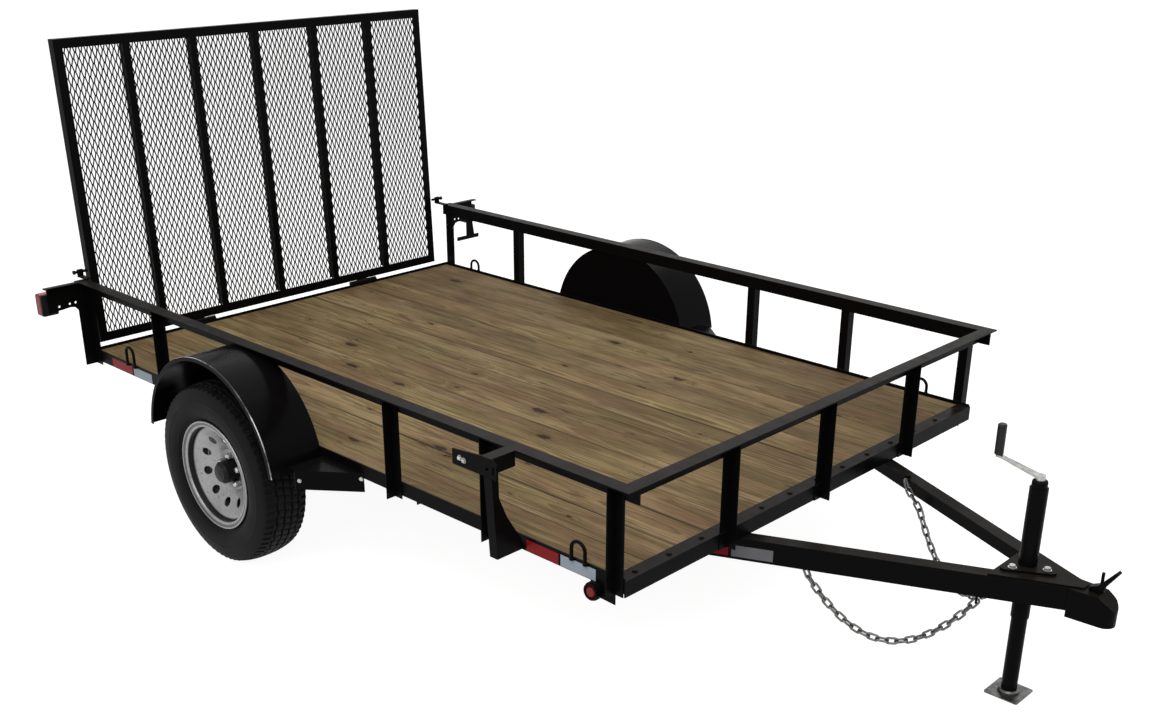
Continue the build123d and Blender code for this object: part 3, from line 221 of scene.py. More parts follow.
def weld(shape, start, end, size=0.0032):
    """A rippled bead along the straight joint from start to end."""
    start, end = Vector(start), Vector(end)
    run = end - start
    side = run.orthogonal().normalized()
    up = run.normalized().cross(side)
    count = max(4, round(run.length / WELD_RIPPLE))
    rings = []
    for step in range(count + 1):
        radius = size * (0.3 if step in (0, count) else 1 + 0.18 * sin(step * 2.3))
        around = [2 * pi * corner / 6 for corner in range(6)]
        centre = start + run * step / count
        rings.append([centre + (side * cos(turn) + up * sin(turn)) * radius for turn in around])
    skin(shape, rings)


RAILS_LOW, RAILS_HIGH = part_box("side_rails")
FRAME_LOW, FRAME_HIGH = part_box("side_frame_right")
RAIL_FRONT = RAILS_HIGH.x
SIDE_FACE = -FRAME_LOW.y        # outer face of the side frames
LEG = 0.0508
BAY_FACE = RAIL_FRONT - LEG + 0.0048        # outer face of the front frame
# rear edge of each side post, back from the rail's front edge: right side, left side, leg
SIDE_POSTS = (
    (0.091, 0.124, 0.0381), (0.625, 0.664, 0.0381), (1.095, 1.141, 0.0381), (2.528, 2.595, 0.0381),
    (3.099, 3.099, 0.0508),
)
FRONT_POSTS = (-0.566, -0.046, 0.484)       # right-hand edge of each
welds = bmesh.new()
for right_back, left_back, leg in SIDE_POSTS:
    for back, side in ((right_back, -1), (left_back, 1)):
        rear = RAIL_FRONT - back
        for across, level in ((SIDE_FACE, FRAME_HIGH.z), (SIDE_FACE + 0.0032, RAILS_LOW.z)):
            weld(welds, (rear + 0.002, side * across, level), (rear + leg - 0.002, side * across, level))
for edge in FRONT_POSTS:
    for level in (RAILS_LOW.z, FRAME_LOW.z + 0.0436):
        weld(welds, (BAY_FACE + 0.0032, edge + 0.002, level), (BAY_FACE + 0.0032, edge + 0.036, level))
add_piece("weld_beads", welds, black_enamel, crease=60)


def bent_rod(shape, path, radius, corners=10):
    """A round rod bent in an upright plane that runs along the trailer."""
    rings = []
    for index, point in enumerate(path):
        before, after = path[max(index - 1, 0)], path[min(index + 1, len(path) - 1)]
        out = (after - before).normalized().cross(Vector((0, 1, 0)))
        around = [2 * pi * corner / corners for corner in range(corners)]
        rings.append([point + (out * cos(turn) + Vector((0, 1, 0)) * sin(turn)) * radius for turn in around])
    skin(shape, rings)


def turned(shape, base, axis, profile, corners=16, spin=0.0):
    """A solid of revolution from base along axis; profile lists (radius, height) pairs."""
    base = Vector(base)
    swing = Vector(axis).to_track_quat("Z", "Y").to_matrix()
    rings = []
    for radius, height in profile:
        around = [2 * pi * corner / corners + spin for corner in range(corners)]
        rings.append(
            [base + swing @ Vector((radius * cos(turn), radius * sin(turn), height)) for turn in around]
        )
    skin(shape, rings)


# rope loops of bent rod, welded by their feet to the upper edge of the side frames:
# side, back from the rail's front edge, height of the bend's centreline
LOOPS = ((-1, 0.231, 0.570), (-1, 2.794, 0.584), (1, 0.274, 0.558), (1, 2.890, 0.5535))
LOOP_HALF, LOOP_ROD, LOOP_OUT, LOOP_FOOT = 0.028, 0.006, 1.012, 0.501
loops = bmesh.new()
for side, back, top in LOOPS:
    middle = Vector((RAIL_FRONT - back, side * LOOP_OUT, top - LOOP_HALF))
    path = [Vector((middle.x - LOOP_HALF, middle.y, LOOP_FOOT))]
    for step in range(17):
        turn = pi * (1 - step / 16)
        path.append(middle + Vector((cos(turn), 0, sin(turn))) * LOOP_HALF)
    path.append(Vector((middle.x + LOOP_HALF, middle.y, LOOP_FOOT)))
    bent_rod(loops, path, LOOP_ROD)
    for reach in (-LOOP_HALF, LOOP_HALF):
        foot = (middle.x + reach, middle.y - side * 0.002, LOOP_FOOT - 0.003)
        turned(loops, foot, (0, 0, 1), (
            (0.003, 0), (0.0085, 0.002), (0.0092, 0.005), (0.0078, 0.010), (0.0045, 0.014)
        ))
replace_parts(add_piece("rope_loops", loops, black_enamel, crease=50), "tie_downs")

# gate latches: an arm on each rail's end carries a lug with a short sprung pin in it
LATCH_LOW, LATCH_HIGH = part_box("gate_latches")
LATCH_ARM = 0.998
latches = bmesh.new()
for side in (1, -1):
    for far, high in ((LATCH_HIGH.x, LATCH_LOW.z + 0.006), (LATCH_LOW.x + 0.010, LATCH_HIGH.z)):
        skin(latches, [
            [Vector((x, side * (LATCH_ARM + across), z)) for x, z in (
                (LATCH_LOW.x, LATCH_LOW.z), (far, LATCH_LOW.z), (far, high), (LATCH_LOW.x, high),
            )] for across in (-0.012, 0.012)
        ])
    pin = (LATCH_LOW.x + 0.005, side * 0.963, LATCH_HIGH.z - 0.010)
    turned(latches, pin, (0, side, 0), (
        (0.0045, 0), (0.006, 0.002), (0.006, 0.058), (0.009, 0.059), (0.009, 0.066)
    ))
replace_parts(add_piece("sprung_latches", latches, black_enamel, crease=40), "gate_latches")

# ---- Fenders ---------------------------------------------------------------------------
# Rolled sheet steel with a folded lip, from another supplier: smoother paint than the
# frame's, with a wet gloss that picks up the sky along the curve.
fender_gloss = coated(
    "fender_gloss", (0.0034, 0.003, 0.0034, 1), 0.2, 0.05, peel=0.0002, specular_ior_level=0.035,
)
wear(fender_gloss, "fender_left", "fender_right", "fender_steps")

# the outer edge is rolled over a wire, and its rounded bead catches the light
BEAD_ROD, FENDER_EDGE, FENDER_END = 0.003, 1.230, 7
WHEEL_BACK, BEAD_RADIUS = 1.892, 0.3935


def lip_with_painted_glints():
    """Black enamel with short patches of bright metallic grey along the bead: painted glints."""
    finish, tree, shader = new_finish("lip_with_painted_glints", roughness=0.2, specular_ior_level=0.4)
    place = put(tree, "ShaderNodeTexCoord").outputs["Object"]
    # short patches of bright metallic grey, set along the bead as painted glints
    painted_glint_patches = ramp(tree, noise(tree, place, 5.5, 3.0, 0.6), 0.50, 0.60)
    tree.links.new(
        blend_colour(tree, painted_glint_patches, (0.006, 0.006, 0.007, 1), (0.55, 0.55, 0.56, 1)), shader.inputs["Base Color"]
    )
    tree.links.new(sum_up(tree, "MULTIPLY", painted_glint_patches, 0.6), shader.inputs["Metallic"])
    return finish


lip_finish = lip_with_painted_glints()
for side_name, side in (("left", 1), ("right", -1)):
    centre = Vector((RAIL_FRONT - WHEEL_BACK, side * (FENDER_EDGE - BEAD_ROD), 0.402))
    bead = bmesh.new()
    bent_rod(bead, [
        centre + Vector((cos(turn), 0, sin(turn))) * BEAD_RADIUS
        for turn in (radians(FENDER_END + (180 - 2 * FENDER_END) * step / 90) for step in range(91))
    ], BEAD_ROD)
    add_piece(f"fender_bead_{side_name}", bead, lip_finish, crease=50)

# ---- Deck ------------------------------------------------------------------------------
# Pressure-treated pine boards, laid lengthwise and left bare: broad flat-sawn grain,
# knots, and a greenish grey cast from the treatment.
DECK_LOW, DECK_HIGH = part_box("deck_boards")
BOARDS = 14
BOARD_PITCH = (DECK_HIGH.y - DECK_LOW.y + 0.003) / BOARDS


def treated_pine():
    """Grain from rings round a wandering pith, bent aside by knots, with stains and checks."""
    finish, tree, shader = new_finish("treated_pine", specular_ior_level=0.16)

    def scaled(vector, *shares):
        return put(tree, "ShaderNodeVectorMath", {0: vector, 1: shares}, operation="MULTIPLY").outputs[0]

    place = put(tree, "ShaderNodeSeparateXYZ", {0: put(tree, "ShaderNodeTexCoord").outputs["Object"]})
    across = sum_up(tree, "SUBTRACT", place.outputs["Y"], DECK_LOW.y - 0.0015)
    across = sum_up(tree, "DIVIDE", across, BOARD_PITCH)
    board = sum_up(tree, "FLOOR", across, 0.0)
    chance = put(tree, "ShaderNodeTexWhiteNoise", {"W": board}, noise_dimensions="1D")
    luck = put(tree, "ShaderNodeSeparateColor", {0: chance.outputs["Color"]})
    # every board is its own length of timber: slide the pattern along by chance
    along = sum_up(tree, "ADD", place.outputs["X"], sum_up(tree, "MULTIPLY", luck.outputs[0], 40.0))
    offset = put(
        tree, "ShaderNodeCombineXYZ", {0: along, 1: place.outputs["Y"], 2: place.outputs["Z"]}
    ).outputs[0]
    stretched = scaled(offset, 0.32, 1.0, 1.0)
    wander = noise(tree, stretched, 2.4, 2.0)
    ripple = noise(tree, stretched, 11.0, 3.0, 0.55)

    # knots: one in some of the cells, each its own size, with a dark ring and a pale burr round it
    knot_plane = scaled(offset, 0.42, 1.0, 1.0)
    cells = put(tree, "ShaderNodeTexVoronoi", {"Vector": knot_plane, "Scale": 6.0}, voronoi_dimensions="2D")
    pick = put(tree, "ShaderNodeSeparateColor", {0: cells.outputs["Color"]})
    chosen = ramp(tree, pick.outputs[0], 0.52, 0.53)
    size = sum_up(tree, "MULTIPLY", sum_up(tree, "POWER", pick.outputs[1], 2.2), 0.10)
    size = sum_up(tree, "ADD", 0.026, size)
    ragged = sum_up(tree, "SUBTRACT", noise(tree, knot_plane, 48.0, 4.0, 0.78), 0.45)
    ragged = sum_up(tree, "MULTIPLY", ragged, 0.24)
    reach = sum_up(tree, "DIVIDE", sum_up(tree, "ADD", cells.outputs["Distance"], ragged), size)
    pull = sum_up(tree, "POWER", ramp(tree, reach, 0.0, 5.0, 1.0, 0.0), 2.0)
    pull = sum_up(tree, "MULTIPLY", pull, chosen)
    knot = sum_up(tree, "MULTIPLY", ramp(tree, reach, 0.85, 1.15, 1.0, 0.0), chosen)
    halo = sum_up(tree, "MULTIPLY", ramp(tree, reach, 1.2, 3.4, 1.0, 0.0), chosen)

    # distance to the pith, whose place under the board is the board's luck
    side = sum_up(tree, "SUBTRACT", sum_up(tree, "FRACT", across, 0.0), luck.outputs[1])
    side = sum_up(tree, "MULTIPLY", side, BOARD_PITCH)
    depth = sum_up(tree, "ADD", 0.018, sum_up(tree, "MULTIPLY", wander, 0.085))
    radius = put(tree, "ShaderNodeVectorMath", {
        0: put(tree, "ShaderNodeCombineXYZ", {0: side, 1: depth}).outputs[0],
    }, operation="LENGTH").outputs["Value"]
    radius = sum_up(tree, "ADD", radius, sum_up(tree, "MULTIPLY", ripple, 0.011))
    radius = sum_up(tree, "ADD", radius, sum_up(tree, "MULTIPLY", pull, 0.03))
    ring = sum_up(tree, "FRACT", sum_up(tree, "MULTIPLY", radius, 110.0), 0.0)
    late = sum_up(tree, "POWER", ring, 2.0)
    late = sum_up(tree, "MULTIPLY", late, ramp(tree, ring, 0.93, 1.0, 1.0, 0.0))

    # long stains, and checks that open along the grain here and there
    streaks = ramp(tree, noise(tree, scaled(offset, 1.9, 44.0, 8.0), 1.0, 5.0, 0.66), 0.50, 0.66)
    lengths = sum_up(tree, "SUBTRACT", noise(tree, scaled(offset, 0.75, 17.0, 6.0), 1.0, 3.0, 0.6), 0.5)
    split = ramp(tree, sum_up(tree, "ABSOLUTE", lengths, 0.0), 0.0, 0.011, 1.0, 0.0)
    where = ramp(tree, noise(tree, scaled(offset, 1.2, 5.0, 5.0), 1.0, 2.0), 0.50, 0.56)
    check = sum_up(tree, "MULTIPLY", split, where)
    # some boards have drawn apart from the next, and the joint is a dark wet line
    joint = ramp(tree, sum_up(tree, "FRACT", across, 0.0), 0.035, 0.10, 1.0, 0.0)
    joint = sum_up(tree, "MULTIPLY", joint, ramp(tree, luck.outputs[2], 0.5, 0.75, 0.0, 0.8))
    joint = sum_up(tree, "MULTIPLY", joint, ramp(tree, wander, 0.38, 0.55))

    fibre = noise(tree, scaled(offset, 3.0, 160.0, 60.0), 1.0, 3.0, 0.6)
    cast = noise(tree, stretched, 4.2, 4.0, 0.6, 0.4)
    early = blend_colour(tree, ramp(tree, cast, 0.36, 0.62), (0.36, 0.27, 0.120, 1), (0.235, 0.138, 0.070, 1))
    shade = blend_colour(tree, sum_up(tree, "MULTIPLY", late, 0.78), early, (0.062, 0.038, 0.014, 1))
    shade = blend_colour(tree, sum_up(tree, "MULTIPLY", streaks, 0.75), shade, (0.062, 0.040, 0.014, 1))
    shade = blend_colour(tree, ramp(tree, fibre, 0.35, 0.75, 0.0, 0.35), shade, (0.12, 0.088, 0.045, 1))
    flecks = ramp(tree, noise(tree, scaled(offset, 7.0, 85.0, 30.0), 1.0, 4.0, 0.7), 0.56, 0.66, 0.0, 0.6)
    shade = blend_colour(tree, flecks, shade, (0.070, 0.040, 0.016, 1))
    # broad patches, drier and paler or wet and olive brown
    weather = noise(tree, scaled(offset, 1.7, 8.5, 5.0), 1.0, 4.0, 0.6)
    shade = blend_colour(tree, ramp(tree, weather, 0.48, 0.62, 0.0, 0.5), shade, (0.098, 0.070, 0.024, 1))
    shade = blend_colour(tree, ramp(tree, weather, 0.34, 0.46, 0.35, 0.0), shade, (0.40, 0.30, 0.17, 1))
    tone = ramp(tree, luck.outputs[2], 0.0, 1.0, 0.82, 1.14)
    shade = put(tree, "ShaderNodeVectorMath", {0: shade, "Scale": tone}, operation="SCALE").outputs[0]
    shade = blend_colour(tree, sum_up(tree, "MULTIPLY", halo, 0.5), shade, (0.10, 0.055, 0.02, 1))
    shade = blend_colour(tree, sum_up(tree, "MULTIPLY", knot, 0.94), shade, (0.017, 0.007, 0.002, 1))
    gaps = sum_up(tree, "MAXIMUM", sum_up(tree, "MULTIPLY", check, 0.85), joint)
    shade = blend_colour(tree, gaps, shade, (0.02, 0.012, 0.006, 1))
    tree.links.new(shade, shader.inputs["Base Color"])
    tree.links.new(ramp(tree, fibre, 0.3, 0.7, 0.66, 0.84), shader.inputs["Roughness"])
    height = sum_up(tree, "MULTIPLY", fibre, 0.6)
    height = sum_up(tree, "SUBTRACT", height, sum_up(tree, "MULTIPLY", late, 0.4))
    height = sum_up(tree, "SUBTRACT", height, check)
    bump = put(tree, "ShaderNodeBump", {"Height": height, "Strength": 0.5, "Distance": 0.0008})
    tree.links.new(bump.outputs[0], shader.inputs["Normal"])
    return finish


wear(treated_pine(), "deck_boards")

# two flat-headed screws through each board into every cross member
SCREW_ROWS = [FRAME_LOW.x + 0.026] + [RAIL_FRONT - 0.546 - 0.030 - 0.490 * row for row in range(5)]
screws = bmesh.new()
for row in SCREW_ROWS:
    for board in range(BOARDS):
        for share in (0.22, 0.78):
            place = (row, DECK_LOW.y + BOARD_PITCH * (board + share), DECK_HIGH.z)
            turned(
                screws, place, (0, 0, 1), ((0.0042, -0.002), (0.0044, 0.0001), (0.0036, 0.0003)), corners=10
            )
screw_coat = new_finish("screw_coat", base_color=(0.075, 0.058, 0.03, 1), roughness=0.6, metallic=0.3)[0]
add_piece("deck_screws", screws, screw_coat)

# round-headed bolts through the front frame's clamping leg
CLAMP_BOLTS = 13
CLAMP_REACH = 0.937
clamp_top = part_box("front_frame")[1].z
clamp_bolts = bmesh.new()
for bolt in range(CLAMP_BOLTS):
    place = (RAIL_FRONT - 0.070, CLAMP_REACH * (2 * bolt / (CLAMP_BOLTS - 1) - 1), clamp_top)
    turned(
        clamp_bolts, place, (0, 0, 1), ((0.0095, -0.001), (0.0095, 0.001), (0.007, 0.004), (0.003, 0.0052))
    )
add_piece("clamp_bolts", clamp_bolts, black_enamel, crease=50)

# ---- Reflective tape -----------------------------------------------------------------------
# Red and white prismatic tape stuck along both side frames and on the tongue: glass-hard
# film over a honeycomb of cells that shows as a faint net.


def prismatic(name, field, net):
    """Reflective tape of one colour."""
    finish, tree, shader = new_finish(name, roughness=0.4, specular_ior_level=0.12)
    place = put(tree, "ShaderNodeTexCoord").outputs["Object"]
    cells = put(tree, "ShaderNodeTexVoronoi", {"Vector": place, "Scale": 260.0}, feature="DISTANCE_TO_EDGE")
    walls = ramp(tree, cells.outputs["Distance"], 0.02, 0.12, 1.0, 0.0)
    scuffs = ramp(tree, noise(tree, place, 35.0, 5.0, 0.65), 0.5, 0.75, 0.0, 0.45)
    share = sum_up(tree, "MAXIMUM", sum_up(tree, "MULTIPLY", walls, 0.5), scuffs)
    tree.links.new(blend_colour(tree, share, field, net), shader.inputs["Base Color"])
    return finish


TAPE_PROUD = 0.0006
TAPE_LEVELS = (0.4600, 0.4985)
red_tape = prismatic("red_tape", (0.34, 0.009, 0.012, 1), (0.16, 0.007, 0.009, 1))
white_tape = prismatic("white_tape", (0.46, 0.53, 0.60, 1), (0.33, 0.39, 0.45, 1))
grey_tape = prismatic("grey_tape", (0.21, 0.21, 0.22, 1), (0.13, 0.13, 0.14, 1))
# name, finish, back from the rail's front edge: start and end; each strip goes on both sides
SIDE_TAPES = (
    ("red_rear", red_tape, -2.960, -2.800), ("white_rear", white_tape, -2.789, -2.648),
    ("red_front", red_tape, -0.457, -0.319), ("white_front", white_tape, -0.310, -0.164),
)
for name, finish, start, end in SIDE_TAPES:
    strips = bmesh.new()
    for side in (1, -1):
        rings = []
        for x in (start + RAIL_FRONT, end + RAIL_FRONT):
            rings.append([
                Vector((x, side * (SIDE_FACE + proud), level))
                for proud, level in (
                    (-0.001, TAPE_LEVELS[0]), (TAPE_PROUD, TAPE_LEVELS[0]),
                    (TAPE_PROUD, TAPE_LEVELS[1]), (-0.001, TAPE_LEVELS[1]),
                )
            ])
        skin(strips, rings)
    add_piece(f"tape_{name}", strips, finish)

# the tongue's tape follows its splayed members
TONGUE_APEX = RAIL_FRONT + 0.948
TONGUE_TURN = radians(24.5)
TONGUE_TAPES = (("red_tongue", red_tape, -0.200, -0.080), ("grey_tongue", grey_tape, -0.071, 0.053))
for name, finish, start, end in TONGUE_TAPES:
    strips = bmesh.new()
    for side in (1, -1):
        outward = Vector((sin(TONGUE_TURN), side * cos(TONGUE_TURN), 0))
        rings = []
        for x in (start + RAIL_FRONT, end + RAIL_FRONT):
            root = Vector((x, side * (TONGUE_APEX - x) * tan(TONGUE_TURN), 0))
            rings.append([
                root + outward * proud + Vector((0, 0, level))
                for proud, level in (
                    (-0.001, 0.380), (TAPE_PROUD, 0.380), (TAPE_PROUD, 0.420), (-0.001, 0.420)
                )
            ])
        skin(strips, rings)
    add_piece(f"tape_{name}", strips, finish)

# ---- Zinc-plated fittings ---------------------------------------------------------------
# The jack's crank and foot, the U-bolts and the chains: clear zinc over steel, faintly
# spangled, with a soft grey bloom.


def plating(name, bright, dull):
    """Electroplated steel whose bloom runs from bright to dull."""
    finish, tree, shader = new_finish(name, metallic=1.0)
    place = put(tree, "ShaderNodeTexCoord").outputs["Object"]
    bloom = noise(tree, place, 60.0, 4.0, 0.6)
    colour = blend_colour(tree, ramp(tree, bloom, 0.3, 0.7), bright, dull)
    tree.links.new(colour, shader.inputs["Base Color"])
    tree.links.new(ramp(tree, bloom, 0.3, 0.7, 0.28, 0.5), shader.inputs["Roughness"])
    return finish


zinc_plate = plating("zinc_plate", (0.56, 0.56, 0.54, 1), (0.28, 0.28, 0.27, 1))
wear(zinc_plate, "jack_crank")
chain_plate = plating("chain_plate", (0.20, 0.20, 0.195, 1), (0.075, 0.075, 0.073, 1))
wear(chain_plate, "axle_clamps")
wear(plating("foot_plate", (0.17, 0.17, 0.165, 1), (0.07, 0.07, 0.068, 1)), "jack_foot")


def hex_bolt(shape, place, axis, across=0.019, reach=0.008):
    """A washer, a six-sided head and a chamfer on its top."""
    half = across / 2 / cos(pi / 6)
    turned(shape, place, axis, ((half * 1.25, -0.0005), (half * 1.25, 0.002)), corners=20)
    turned(shape, place, axis, (
        (half, 0.0015), (half, 0.002 + reach * 0.85), (half * 0.86, 0.002 + reach),
    ), corners=6)


JACK_X = RAIL_FRONT + 0.711
FLANGE_TOP = 0.460
FLANGE_BOLTS = ((0.064, 0.0), (-0.022, 0.057), (-0.022, -0.057))
fittings = bmesh.new()
for ahead_of_jack, left in FLANGE_BOLTS:
    hex_bolt(fittings, (JACK_X + ahead_of_jack, left, FLANGE_TOP), (0, 0, 1))
spare_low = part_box("spare_carrier")[0]
SPARE_HOLE = RAIL_FRONT - 0.583
for along in (-0.0095, 0.0095):
    place = (SPARE_HOLE + along, spare_low.y, 0.776 - along * 0.2)
    hex_bolt(fittings, place, (0, -1, 0), across=0.0125, reach=0.005)
STEP_NORMAL = Vector((0.154, -0.192, 0)).normalized()
for back, out, level in ((1.272, 1.0124, 0.456), (1.444, 1.1504, 0.440)):
    for side in (1, -1):
        place = (RAIL_FRONT - back, side * out, level)
        hex_bolt(fittings, place, (STEP_NORMAL.x, -side * STEP_NORMAL.y, 0), across=0.0105, reach=0.0045)
add_piece("zinc_bolts", fittings, zinc_plate, crease=35)

# safety chains: each starts at its tongue member's flange and dips under the member to a black
# hanger at the front
CHAIN_TAIL = ((0.088, 0.321, 0.446), (0.104, 0.322, 0.412), (0.118, 0.330, 0.385))
CHAIN_BACK, CHAIN_FRONT, CHAIN_SAG = (0.140, 0.344, 0.350), (0.624, 0.120, 0.350), 0.197
LINK_PITCH, LINK_WIRE, LINK_HALF = 0.030, 0.0040, 0.0096
MEMBER_SLOPE, MEMBER_WALL = 0.4557, 0.00703         # across per metre back; tall leg, measured across
MEMBER_NORMAL = (0.4147, 0.91)
HANGER_ROD, HANGER_TOP = 0.0042, 0.400


def chain_link(shape, tail, head, flat):
    """One oval link of round wire between two places on the chain."""
    along = (head - tail).normalized()
    level = along.cross(Vector((0, 0, 1))).normalized()
    across = level if flat else along.cross(level)
    straight = LINK_PITCH / 2 + LINK_WIRE - LINK_HALF
    rings = []
    for step in range(20):
        turn = 2 * pi * (step + 0.5) / 20
        out = along * cos(turn) + across * sin(turn)
        centre = (tail + head) / 2 + out * LINK_HALF + along * (straight if cos(turn) > 0 else -straight)
        around = [2 * pi * corner / 8 for corner in range(8)]
        rings.append(
            [centre + (out * cos(way) + along.cross(across) * sin(way)) * LINK_WIRE for way in around]
        )
    skin(shape, rings, closed=True)


chains, chain_bolts = bmesh.new(), bmesh.new()
for side in (-1, 1):
    ahead = Vector((RAIL_FRONT, 0, 0))
    back, front = Vector(CHAIN_BACK), Vector(CHAIN_FRONT)
    # the right-hand chain starts lower, under its flange
    corners = [Vector(place) for place in CHAIN_TAIL[0 if side == 1 else 1:]] + [back]
    line = [near.lerp(far, step / 20) for near, far in zip(corners, corners[1:]) for step in range(20)]
    for step in range(401):
        share = step / 400
        line.append(back.lerp(front, share) - Vector((0, 0, 4 * CHAIN_SAG * share * (1 - share))))
    line = [ahead + Vector((x, side * y, z)) for x, y, z in line]
    ends = [line[0]]
    for spot in line:
        if (spot - ends[-1]).length >= LINK_PITCH - 0.0005:
            ends.append(spot)
    for index, (tail, head) in enumerate(zip(ends, ends[1:])):
        chain_link(chains, tail, head, (len(ends) - index) % 2 == 1)
    # a hanger at the last link, up inside the member's tall leg; bent_rod flattens its lower end
    eye = ends[-1].lerp(ends[-2], 0.16)
    leg_face = (TONGUE_APEX - eye.x) * MEMBER_SLOPE - MEMBER_WALL
    outward = Vector((MEMBER_NORMAL[0], side * MEMBER_NORMAL[1], 0))
    corner = eye + outward * ((leg_face - abs(eye.y)) * MEMBER_NORMAL[1] - HANGER_ROD + 0.001)
    bent_rod(
        chain_bolts, [eye - outward * 0.007, corner, Vector((corner.x, corner.y, HANGER_TOP))], HANGER_ROD
    )
    if side == 1:
        hex_bolt(chain_bolts, ahead + Vector((0.080, 0.349, 0.447)), (0, 0, 1))
    else:
        turned(chain_bolts, ends[0], outward, ((0.0042, -0.004), (0.0042, 0.056)), corners=12)
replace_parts(add_piece("round_link_chains", chains, chain_plate, crease=60), "safety_chains")
add_piece("chain_bolts", chain_bolts, black_enamel, crease=35)

# ---- Wheels ------------------------------------------------------------------------------
# Pressed steel discs welded into rolled rims, sprayed silver; a black plastic cap is
# pushed over each hub.
AXLE = Vector((RAIL_FRONT - WHEEL_BACK, 1.133, 0.345))


def silver_spray():
    """Silver paint with fine flake and a dull film; painted shade darkens the well, the curl of the lip and
    the inboard side, the paint is darker round the hub, and there are dirt spots.
    """
    finish, tree, shader = new_finish("silver_spray", metallic=0.7)
    place = put(tree, "ShaderNodeTexCoord").outputs["Object"]
    flake = noise(tree, place, 900.0, 2.0)
    film = noise(tree, place, 9.0, 4.0)
    colour = blend_colour(tree, ramp(tree, flake, 0.3, 0.7), (0.30, 0.30, 0.304, 1), (0.40, 0.40, 0.404, 1))
    colour = blend_colour(tree, ramp(tree, film, 0.45, 0.75, 0.0, 0.45), colour, (0.2, 0.19, 0.185, 1))
    # painted shade lies in the well between the lip and the disc and over the inboard side, and the paint is
    # darker round the hub
    apart = put(
        tree, "ShaderNodeVectorMath", {0: place, 1: (AXLE.x, 0, AXLE.z)}, operation="SUBTRACT"
    ).outputs[0]
    radial = put(tree, "ShaderNodeVectorMath", {0: apart, 1: (1, 0, 1)}, operation="MULTIPLY").outputs[0]
    radial = put(tree, "ShaderNodeVectorMath", {0: radial}, operation="LENGTH").outputs["Value"]
    sideways = sum_up(tree, "ABSOLUTE", put(tree, "ShaderNodeSeparateXYZ", {0: place}).outputs["Y"], 0.0)
    well = ramp(tree, sideways, AXLE.y + 0.079, AXLE.y + 0.076)
    well = sum_up(tree, "MULTIPLY", ramp(tree, radial, 0.1795, 0.1815), well)
    well = sum_up(tree, "MAXIMUM", well, ramp(tree, sideways, AXLE.y + 0.0035, AXLE.y - 0.004))
    # painted shade in the curl of the lip
    flange = sum_up(
        tree, "MULTIPLY", ramp(tree, radial, 0.1915, 0.1930), ramp(tree, radial, 0.2035, 0.2015, 0.0, 0.72)
    )
    # darker round the hub
    hub_darkening = ramp(
        tree, sum_up(tree, "ADD", radial, sum_up(tree, "MULTIPLY", film, 0.03)), 0.062, 0.098, 0.75, 0.0
    )
    spots = ramp(tree, noise(tree, place, 95.0, 4.0, 0.65), 0.56, 0.68, 0.0, 0.5)
    # the painted shade, the darkening round the hub and the dirt spots all pull the paint towards near black
    painted_shade_and_spots = sum_up(
        tree, "MAXIMUM", sum_up(tree, "MULTIPLY", well, 0.95), sum_up(tree, "MAXIMUM", hub_darkening, spots)
    )
    painted_shade_and_spots = sum_up(tree, "MAXIMUM", painted_shade_and_spots, flange)
    colour = blend_colour(tree, painted_shade_and_spots, colour, (0.022, 0.021, 0.02, 1))
    tree.links.new(colour, shader.inputs["Base Color"])
    tree.links.new(ramp(tree, film, 0.3, 0.7, 0.3, 0.42), shader.inputs["Roughness"])
    return finish


rim_silver = silver_spray()
wheel_centres = {side: sum(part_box(f"tyre_{side}"), Vector()) / 2 for side in ("left", "right")}
# out along the axle, radius: once round the rolled rim's section
RIM_SECTION = (
    (-0.083, 0.2085), (-0.079, 0.2085), (-0.075, 0.191), (-0.038, 0.169), (-0.002, 0.169), (0.014, 0.190),
    (0.075, 0.191), (0.0785, 0.2045), (0.0805, 0.2075), (0.084, 0.2085), (0.0865, 0.2072), (0.0872, 0.2045),
    (0.0862, 0.2020), (0.0835, 0.1995), (0.0822, 0.1945), (0.0832, 0.1905), (0.0828, 0.1870),
    (0.0805, 0.1845),
    (0.076, 0.1832), (0.060, 0.1830), (0.016, 0.1845),
    (0.002, 0.165), (-0.041, 0.165), (-0.079, 0.187),
)
# radius, out along the axle: the pressed disc's face from its bore to the edge welded in the rim
DISC_FACE = (
    (0.0415, 0.004), (0.078, 0.004), (0.083, 0.008), (0.092, 0.016), (0.143, 0.0435), (0.158, 0.0515),
    (0.168, 0.0570), (0.174, 0.0590), (0.179, 0.0585), (0.1825, 0.0560), (0.1852, 0.0505),
)
DISC_SKIN = 0.0035
HAND_HOLES = 10
HOLE_CIRCLE, HOLE_TALL, HOLE_WIDE = 0.126, 0.0168, 0.0160
HOLE_TURN = radians(-4)
HOLE_ZONE = (0.104, 0.148)
RIM_STEPS = 160


def disc_level(radius):
    """How far out the disc's face stands at a radius."""
    for (low, near), (high, far) in zip(DISC_FACE, DISC_FACE[1:]):
        if radius <= high:
            return near + (far - near) * max(0.0, radius - low) / (high - low)
    return DISC_FACE[-1][1]


